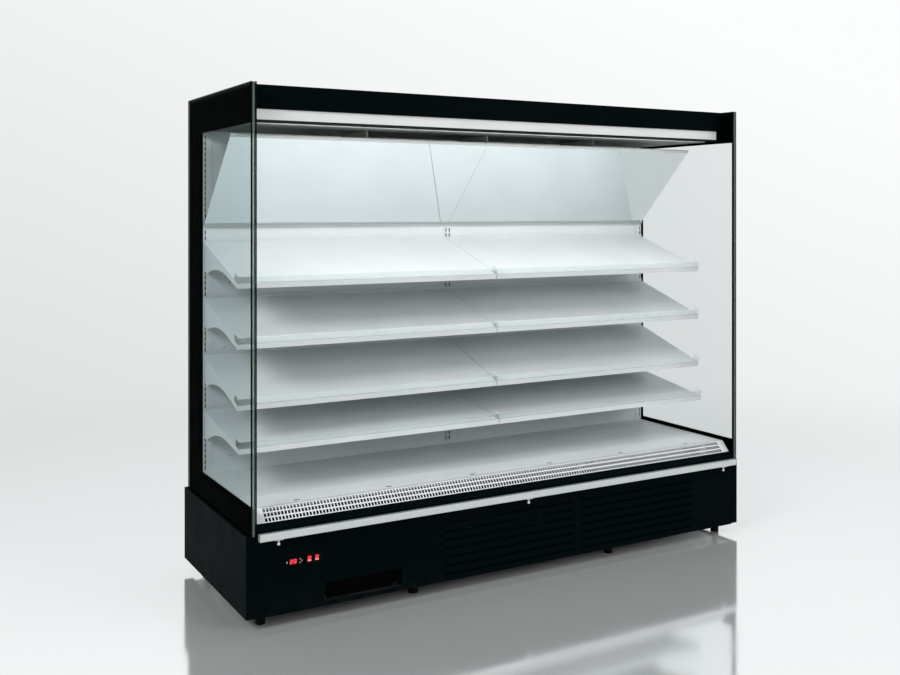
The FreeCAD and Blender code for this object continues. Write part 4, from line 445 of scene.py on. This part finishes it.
def louvred_paint_and_shade(name, colour):
    """Paint of a cover with rows of pressed hoods: the mouth under each hood is painted in deep
    shade.
    """
    surface = Surface(name)
    above = surface.math("SUBTRACT", surface.along("Z"), LOUVRE_LIP)
    rows = surface.math("DIVIDE", above, LOUVRE_PITCH)
    left = surface.math("SUBTRACT", 1.0, surface.math("FRACT", rows))
    below = surface.math("MULTIPLY", left, LOUVRE_PITCH)  # how far under the next hood's edge
    # painted shade: black under each hood, a dark line at each hood's lower edge, a soft painted
    # shadow fading up from it
    dark = surface.ranged(below, MOUTH_EDGE, MOUTH_DEEP)
    lip = surface.ranged(below, LOUVRE_PITCH - 0.002, LOUVRE_PITCH - 0.001)
    painted_shadow = surface.ranged(below, LOUVRE_PITCH, LOUVRE_PITCH - HOOD_SHADOW, 0.35, 0.0)
    for other in (lip, painted_shadow):
        dark = surface.math("MAXIMUM", dark, other)
    first, last = LOUVRE_ROWS
    fields = 0.0
    for start, end in LOUVRE_FIELDS:
        aside = surface.unsigned(surface.math("SUBTRACT", surface.along("X"), (start + end) / 2))
        within = surface.math("LESS_THAN", aside, (end - start) / 2)
        fields = surface.math("MAXIMUM", fields, within)
    for limit in (surface.ranged(rows, first, first + 0.01),
                  surface.ranged(rows, last, last - 0.01), fields):
        dark = surface.math("MULTIPLY", dark, limit)
    tone = surface.shaded(surface.paint_clouds(), colour, 0.86, 1.14)
    # the painted shade is mixed in as pure black
    tone = surface.blend(dark, tone, rgba((0, 0, 0)))
    return surface.finish_paint(tone, roughness=0.46, gloss=0.006)


def glowing(name, colour, light):
    """A lit red segment or window, a little uneven in its glow."""
    surface = Surface(name)
    grain = surface.noise(2500.0, 3.0)
    glow = surface.ranged(grain, 0.2, 0.8, light * 0.85, light * 1.1)
    return surface.finish(Base_Color=surface.shaded(grain, colour, 0.8, 1.0), Roughness=0.3,
                          Emission_Color=rgba(colour), Emission_Strength=glow)


WHITE = (0.66, 0.69, 0.70)
PANEL = (0.52, 0.54, 0.54)

MATERIALS = {
    "black_paint": powder_coat("black_paint", (0.0012, 0.0032, 0.0034), roughness=0.46,
                               gloss=0.006, dusty=True),
    "white_paint": powder_coat("white_paint", WHITE, roughness=0.4, gloss=0.4),
    "grey_trim": powder_coat("grey_trim", (0.54, 0.565, 0.56), roughness=0.4, gloss=0.4),
    "galvanised": galvanised("galvanised", (0.5, 0.51, 0.52)),
    "insulated_panel": powder_coat("insulated_panel", PANEL, roughness=0.45, gloss=0.4),
    "clear_glass": end_glass(
        "clear_glass", tint=(0.979, 0.976, 0.977), slant_tint=(0.872, 0.902, 0.900),
        edge_tint=(0.0008, 0.0040, 0.0030), mirror_share=0.04),
    "clear_spacer": edge_seal(
        "clear_spacer", tint=(0.88, 0.94, 0.92), clear_body=(0.24, 0.30, 0.28),
        rubber=(0.0012, 0.0014, 0.0014), front_end=-0.414, middle=1.263, bead=0.0042),
    "black_border": screen_print("black_border", (0.0006, 0.0008, 0.0008)),
    "bumper_metal": brushed("bumper_metal", (0.60, 0.635, 0.63), roughness=0.42, metal=0.7),
    "white_plastic": moulded("white_plastic", (0.60, 0.62, 0.62), roughness=0.35, grain=400.0,
                             gloss=0.3),
    "mirror_glass": mirror_sheet("mirror_glass", (0.84, 0.875, 0.885)),
    "light_metal": brushed("light_metal", (0.68, 0.70, 0.69), roughness=0.45, metal=0.3),
    "diffuser_plastic": lit_diffuser("diffuser_plastic", (0.80, 0.82, 0.81), light=0.10,
                                     pitch=0.04),
    # rim: colour of the painted highlight on the cut rims
    "honeycomb_plastic": comb_plastic("honeycomb_plastic", (0.004, 0.0045, 0.0045),
                                      rim=(0.05, 0.055, 0.052)),
    "coil_metal": finned("coil_metal", (0.55, 0.56, 0.57), pitch=0.004),
    "motor_metal": powder_coat("motor_metal", (0.16, 0.16, 0.17), roughness=0.4, gloss=0.5),
    "fan_plastic": moulded("fan_plastic", (0.02, 0.02, 0.021), roughness=0.45),
    "copper": tarnished_copper("copper", (0.72, 0.33, 0.2), tarnish=(0.22, 0.09, 0.045)),
    "tray_plastic": moulded("tray_plastic", (0.0014, 0.0016, 0.0016), roughness=0.5, grain=500.0,
                            gloss=0.01),
    "black_plastic": moulded("black_plastic", (0.0012, 0.0018, 0.0018), roughness=0.4,
                             grain=1200.0, gloss=0.02),
    "key_plastic": moulded("key_plastic", (0.22, 0.22, 0.215), roughness=0.45, grain=1500.0,
                           gloss=0.3),
    "foot_plastic": moulded("foot_plastic", (0.0025, 0.0028, 0.0028), roughness=0.55, grain=600.0,
                            gloss=0.05),
    "red_rocker": rocker_plastic("red_rocker", (0.58, 0.028, 0.028), pale=(0.78, 0.21, 0.24),
                                 lamp_colour=(0.5, 0.004, 0.006)),
    "clear_riser": riser_plastic(
        "clear_riser", tint=(0.60, 0.655, 0.645), cut_tint=(0.74, 0.80, 0.785),
        clear_tint=(0.955, 0.975, 0.97), cloudiness=0.05),
}

OWN_FINISH = {  # nodes whose finish differs from that of their slot, or from place to place
    # inside: colour of the painted shade under the deck
    "insulated_tub": tub_skin_and_painted_shade("tub_skin_and_painted_shade", PANEL, inside=(0.006, 0.0065, 0.0065),
                                skin_from=0.4405),
    "canopy_underside": hemmed_sheet("underside_paint", (0.13, 0.15, 0.13),
                                     bare=(0.55, 0.58, 0.56), edge_top=1.9955),
    "switch_frame": moulded("switch_frame_plastic", (0.0024, 0.0036, 0.0035), roughness=0.45,
                            grain=1200.0, gloss=0.02),
    "canopy_braces": powder_coat("brace_paint", (0.17, 0.20, 0.175), roughness=0.45, gloss=0.1),
    # inside: colour of the painted shade in the air duct
    "insulated_back": duct_wall("duct_wall", PANEL, inside=(0.02, 0.022, 0.021),
                                skin_from=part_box("insulated_back")[0].y + 0.001),
    "uprights": slotted_steel("slotted_steel", WHITE,
                              hollow_from=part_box("uprights")[0].y + 0.001),
    # wall: colour of the painted shade in the grille's slots
    "return_grille": slotted_grille("grille_paint", WHITE, wall=(0.02, 0.022, 0.022), end=1.248),
    # base frame zinc darkened as painted shade of the machine space seen through the louvres
    "base_frame": galvanised("zinc_darkened_as_shade", (0.12, 0.125, 0.13)),
    "front_cover_louvred": louvred_paint_and_shade("louvred_paint_and_shade", (0.0014, 0.0036, 0.0040)),
}
for name, node in NODES.items():
    slot_name = node.data.materials[0].name.split(".")[0]
    for slot in node.material_slots:
        slot.material = OWN_FINISH.get(name) or MATERIALS[slot_name]


# ------------------------------------------------------------------- pieces

def new_piece(name, mesh, body, material):
    """Object name with mesh, riding on body and shown in material."""
    piece = bpy.data.objects.new(name, mesh)
    bpy.context.scene.collection.objects.link(piece)
    mesh.materials.append(material)
    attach(piece, body)
    return piece


BOX_FACES = (3, 2, 1, 0), (4, 5, 6, 7), (0, 1, 5, 4), (1, 2, 6, 5), (2, 3, 7, 6), (3, 0, 4, 7)


def honeycomb_mesh(low, high, cell, wall, rim):
    """Hexagonal cells, open up and down, between two corners, inside a rim."""
    points, faces, index = [], [], {}

    def point(x, y, z):
        key = (round(x, 5), round(y, 5), round(z, 5))
        if key not in index:
            index[key] = len(points)
            points.append((x, y, z))
        return index[key]

    def hexagon(x, y, width, level):
        reach = width / math.sqrt(3)
        turns = [math.radians(60 * k + 30) for k in range(6)]
        return [point(x + reach * math.cos(a), y + reach * math.sin(a), level) for a in turns]

    row_pitch = cell * math.sqrt(3) / 2
    columns = int((high.x - low.x - cell / 2) / cell)
    rows = int((high.y - low.y - cell * 0.3) / row_pitch)
    start_x = (low.x + high.x - (columns - 0.5) * cell) / 2
    start_y = (low.y + high.y - (rows - 1) * row_pitch) / 2
    for row in range(rows):
        for column in range(columns):
            x = start_x + (column + 0.5 * (row % 2)) * cell
            y = start_y + row * row_pitch
            outer_low, outer_high, inner_low, inner_high = (
                hexagon(x, y, width, level) for width in (cell, cell - wall)
                for level in (low.z, high.z))
            for k in range(6):
                n = (k + 1) % 6
                faces.append((outer_low[n], outer_low[k], inner_low[k], inner_low[n]))
                faces.append((outer_high[k], outer_high[n], inner_high[n], inner_high[k]))
                faces.append((inner_low[k], inner_high[k], inner_high[n], inner_low[n]))
    for x0, x1, y0, y1 in ((low.x, high.x, low.y, low.y + rim),
                           (low.x, high.x, high.y - rim, high.y),
                           (low.x, low.x + rim, low.y, high.y),
                           (high.x - rim, high.x, low.y, high.y)):
        base = len(points)
        points += [(x, y, z) for z in (low.z, high.z)
                   for x, y in ((x0, y0), (x1, y0), (x1, y1), (x0, y1))]
        faces += [tuple(base + k for k in face) for face in BOX_FACES]
    mesh = bpy.data.meshes.new("honeycomb_cells")
    mesh.from_pydata(points, [], faces)
    return mesh


comb_low, comb_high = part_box("air_honeycomb")
comb = new_piece("air_honeycomb_cells",
                 honeycomb_mesh(comb_low, comb_high, cell=0.0095, wall=0.0011, rim=0.005),
                 "cabinet", MATERIALS["honeycomb_plastic"])
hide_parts("air_honeycomb")


def extruded(name, outlines, rise):
    """Mesh of closed outlines, each raised by rise along Y."""
    shape = bmesh.new()
    for outline in outlines:
        face = shape.faces.new([shape.verts.new(place) for place in outline])
        risen = bmesh.ops.extrude_face_region(shape, geom=[face])
        moved = [v for v in risen["geom"] if isinstance(v, bmesh.types.BMVert)]
        bmesh.ops.translate(shape, verts=moved, vec=(0, rise, 0))
    bmesh.ops.recalc_face_normals(shape, faces=shape.faces)
    mesh = bpy.data.meshes.new(name)
    shape.to_mesh(mesh)
    shape.free()
    return mesh


SEGMENTS = {  # ends of each bar on a digit two units tall and one wide
    "a": ((0, 2), (1, 2)), "b": ((1, 2), (1, 1)), "c": ((1, 1), (1, 0)), "d": ((0, 0), (1, 0)),
    "e": ((0, 1), (0, 0)), "g": ((0, 1), (1, 1)),
}
DIGITS = {"2": "abged", "3": "abgcd"}
READING = "23"
UNIT = 0.0078  # width of a digit, and half its height
BAR_THICK = 0.0021
BAR_RISE = 0.0003
DIGIT_LEAN = 0.12  # sideways for each unit of height
DIGIT_PITCH = 0.0145
FIRST_DIGIT = -0.0125  # its left edge, from the window's middle


def lit_bars(name, middle, front):
    """The reading in pointed bars round middle, standing proud of the plane Y = front."""
    outlines = []
    for place, figure in enumerate(READING):
        origin = middle + Vector((FIRST_DIGIT + place * DIGIT_PITCH, 0, -UNIT))
        for start, end in (SEGMENTS[key] for key in DIGITS[figure]):
            start, end = Vector(start) * UNIT, Vector(end) * UNIT
            along = (end - start).normalized()
            across = Vector((-along.y, along.x)) * BAR_THICK / 2
            start += along * BAR_THICK * 0.6
            end -= along * BAR_THICK * 0.6
            point = along * BAR_THICK / 2
            outline = (start - point, start - across, end - across,
                       end + point, end + across, start + across)
            outlines.append([(origin.x + p.x + p.y * DIGIT_LEAN, front, origin.z + p.y)
                             for p in outline])
    return extruded(name, outlines, -BAR_RISE)


def rounded_plate(name, centre, wide, tall, front, thick, corner):
    """Upright plate with rounded corners, its face on the plane Y = front, its body behind it."""
    outline = []
    for turn, (side, up) in enumerate(((1, 1), (-1, 1), (-1, -1), (1, -1))):
        for part in range(4):
            angle = math.radians(90 * turn + 30 * part)
            outline.append((centre.x + side * (wide / 2 - corner) + corner * math.cos(angle), front,
                            centre.z + up * (tall / 2 - corner) + corner * math.sin(angle)))
    return extruded(name, [outline], thick)


WINDOW_FROM_LEFT, LAMP_FROM_LEFT = 0.0315, 0.0045  # from the controller's left end
WINDOW_THICK = 0.0003
LAMP_THICK = 0.0006

controller_low, controller_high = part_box("controller")
controller_middle = (controller_low.z + controller_high.z) / 2
window_centre = Vector((controller_low.x + WINDOW_FROM_LEFT, 0, controller_middle))
lamp_centre = Vector((controller_low.x + LAMP_FROM_LEFT, 0, controller_middle))
recess = controller_low.y + 0.001  # the display's floor, behind the controller's front
new_piece("display_window",
          rounded_plate("display_window", window_centre, wide=0.030, tall=0.0175,
                        front=recess - WINDOW_THICK, thick=WINDOW_THICK, corner=0.001),
          "cabinet", glowing("window_red", (0.30, 0.004, 0.008), light=0.8))
new_piece("controller_lamp",
          rounded_plate("controller_lamp", lamp_centre, wide=0.004, tall=0.008,
                        front=controller_low.y - LAMP_THICK, thick=LAMP_THICK, corner=0.0015),
          "cabinet",
          moulded("lamp_lens", (0.42, 0.44, 0.42), roughness=0.3, grain=1500.0, gloss=0.4))
new_piece("display_digits",
          lit_bars("display_digits", window_centre, front=recess - WINDOW_THICK - 0.0001),
          "cabinet", glowing("display_red", (1.0, 0.035, 0.05), light=0.9))


def join_faces(node):
    """Weld the loose faces of a CAD mesh, so that the next modifier finds its edges."""
    weld = node.modifiers.new("join_faces", "WELD")
    weld.merge_threshold = 0.00001


ROUNDED = {  # radii: edges of folded sheets and extrusions catch the light
    "bumper": 0.0012, "canopy_fascia": 0.0008, "front_rail": 0.0008, "front_cover_left": 0.0006,
    "base_sides": 0.0008, "light_housing": 0.0005, "controller": 0.0006, "switch_frame": 0.0006,
    "insulated_roof": 0.001, "insulated_back": 0.001, "rocker_1": 0.0005, "rocker_2": 0.0005,
    "controller_key_1": 0.0004, "controller_key_2": 0.0004, "controller_key_3": 0.0004,
}
for name, radius in ROUNDED.items():
    join_faces(NODES[name])
    bevel = NODES[name].modifiers.new("round_edges", "BEVEL")
    bevel.width = radius
    bevel.segments = 2
    bevel.limit_method = "ANGLE"
    bevel.angle_limit = math.radians(40)
    bevel.harden_normals = True

# the border and the seal touch both panes, so they draw back a little from the faces of the glass
for name in ("glass_borders", "glass_spacers"):
    join_faces(NODES[name])
    draw_back = NODES[name].modifiers.new("draw_back", "DISPLACE")
    draw_back.strength = -0.0004
    draw_back.mid_level = 0.0


# ------------------------------------------------------------------- studio

FLOOR_RADIUS = 6.0
FADE_START = 2.2  # distance from the middle where the floor begins to fade
FLOOR_POLISH = 0.69  # share of the floor that mirrors


def studio_floor():
    """Pale polished floor that fades into the backdrop away from the object."""
    mesh = bpy.data.meshes.new("floor")
    shape = bmesh.new()
    bmesh.ops.create_circle(shape, cap_ends=True, segments=96, radius=FLOOR_RADIUS)
    shape.to_mesh(mesh)
    shape.free()
    floor = bpy.data.objects.new("floor", mesh)
    bpy.context.scene.collection.objects.link(floor)
    floor.location.z = -0.0004
    surface = Surface("floor_pale")
    surface.finish(Base_Color=rgba((0.86, 0.87, 0.87)), Roughness=0.7, Specular_IOR_Level=0.2)
    smooth = surface.ranged(surface.noise(3.0, 4.0), 0.3, 0.7, 0.07, 0.11)
    polish = surface.add("BsdfGlossy", {"Color": rgba((0.92, 0.93, 0.93)), "Roughness": smooth})
    both = surface.mixed(FLOOR_POLISH, surface.shader.outputs[0], polish.outputs[0])
    distance = surface.add("VectorMath", {0: surface.place}, operation="LENGTH").outputs["Value"]
    fade = surface.add("MapRange", {"Value": distance, "From Min": FADE_START,
                                    "From Max": FLOOR_RADIUS * 0.98},
                       interpolation_type="SMOOTHSTEP").outputs["Result"]
    surface.show(surface.mixed(fade, both, surface.clear((1, 1, 1))), "Material Output")
    mesh.materials.append(surface.material)


BRIGHTER_TOWARDS = (0.147, -0.086, 0.38)  # direction in which the backdrop gets brighter
BACKDROP_LOW, BACKDROP_HIGH, BACKDROP_LIMIT = 0.57, 1.20, 0.99


def studio_world(light):
    """Even light for the object; a near-white backdrop for what is seen and mirrored."""
    world = bpy.data.worlds.new("studio")
    bpy.context.scene.world = world
    nodes = NodeTree(world)
    ambient = nodes.tree.nodes["Background"]
    nodes.feed(ambient.inputs["Color"], rgba((0.95, 0.98, 1.0)))
    nodes.feed(ambient.inputs["Strength"], light)
    direction = nodes.add("TexCoord").outputs["Generated"]
    slope = nodes.add("VectorMath", {0: direction, 1: BRIGHTER_TOWARDS}, operation="DOT_PRODUCT")
    level = nodes.ranged(slope.outputs["Value"], -0.3, 0.3, BACKDROP_LOW, BACKDROP_HIGH)
    level = nodes.math("MINIMUM", level, BACKDROP_LIMIT)
    backdrop = nodes.add("Background", {"Color": rgba((0.985, 0.998, 1.0)), "Strength": level})
    rays = nodes.add("LightPath")
    seen = rays.outputs["Is Camera Ray"]
    for kind in ("Is Glossy Ray", "Is Transmission Ray"):
        seen = nodes.math("MAXIMUM", seen, rays.outputs[kind])
    nodes.show(nodes.mixed(seen, ambient.outputs[0], backdrop.outputs[0]), "World Output")


def soft_light(name, place, aim, wide, tall, power):
    lamp = bpy.data.lights.new(name, "AREA")
    lamp.shape = "RECTANGLE"
    lamp.size = wide
    lamp.size_y = tall
    lamp.energy = power
    holder = bpy.data.objects.new(name, lamp)
    bpy.context.scene.collection.objects.link(holder)
    holder.location = place
    holder.rotation_euler = (Vector(aim) - Vector(place)).to_track_quat("-Z", "Y").to_euler()
    holder.visible_camera = False
    holder.visible_glossy = False


studio_floor()
studio_world(light=0.46)
soft_light("key_light", (-5.9, -2.7, 4.5), aim=(0, 0, 1.0), wide=3.0, tall=2.0, power=330.0)
soft_light("fill_light", (2.6, -5.4, 3.0), aim=(0, 0, 1.0), wide=3.0, tall=2.0, power=150.0)
soft_light("canopy_light", (0, -0.36, 1.985), aim=(0, 0.1, 0.5), wide=2.4, tall=0.05, power=6.0)

camera_data = bpy.data.cameras.new("camera")
camera = bpy.data.objects.new("camera", camera_data)
bpy.context.scene.collection.objects.link(camera)
camera_data.sensor_width = 36.0
camera_data.lens = 42.477
camera_data.shift_x = -0.02156
camera_data.shift_y = -0.1412
camera.location = (-2.6183, -4.3967, 1.6373)
camera.rotation_euler = (math.radians(90), 0, -0.5294)
bpy.context.scene.camera = camera
bpy.context.scene.view_settings.view_transform = "Standard"
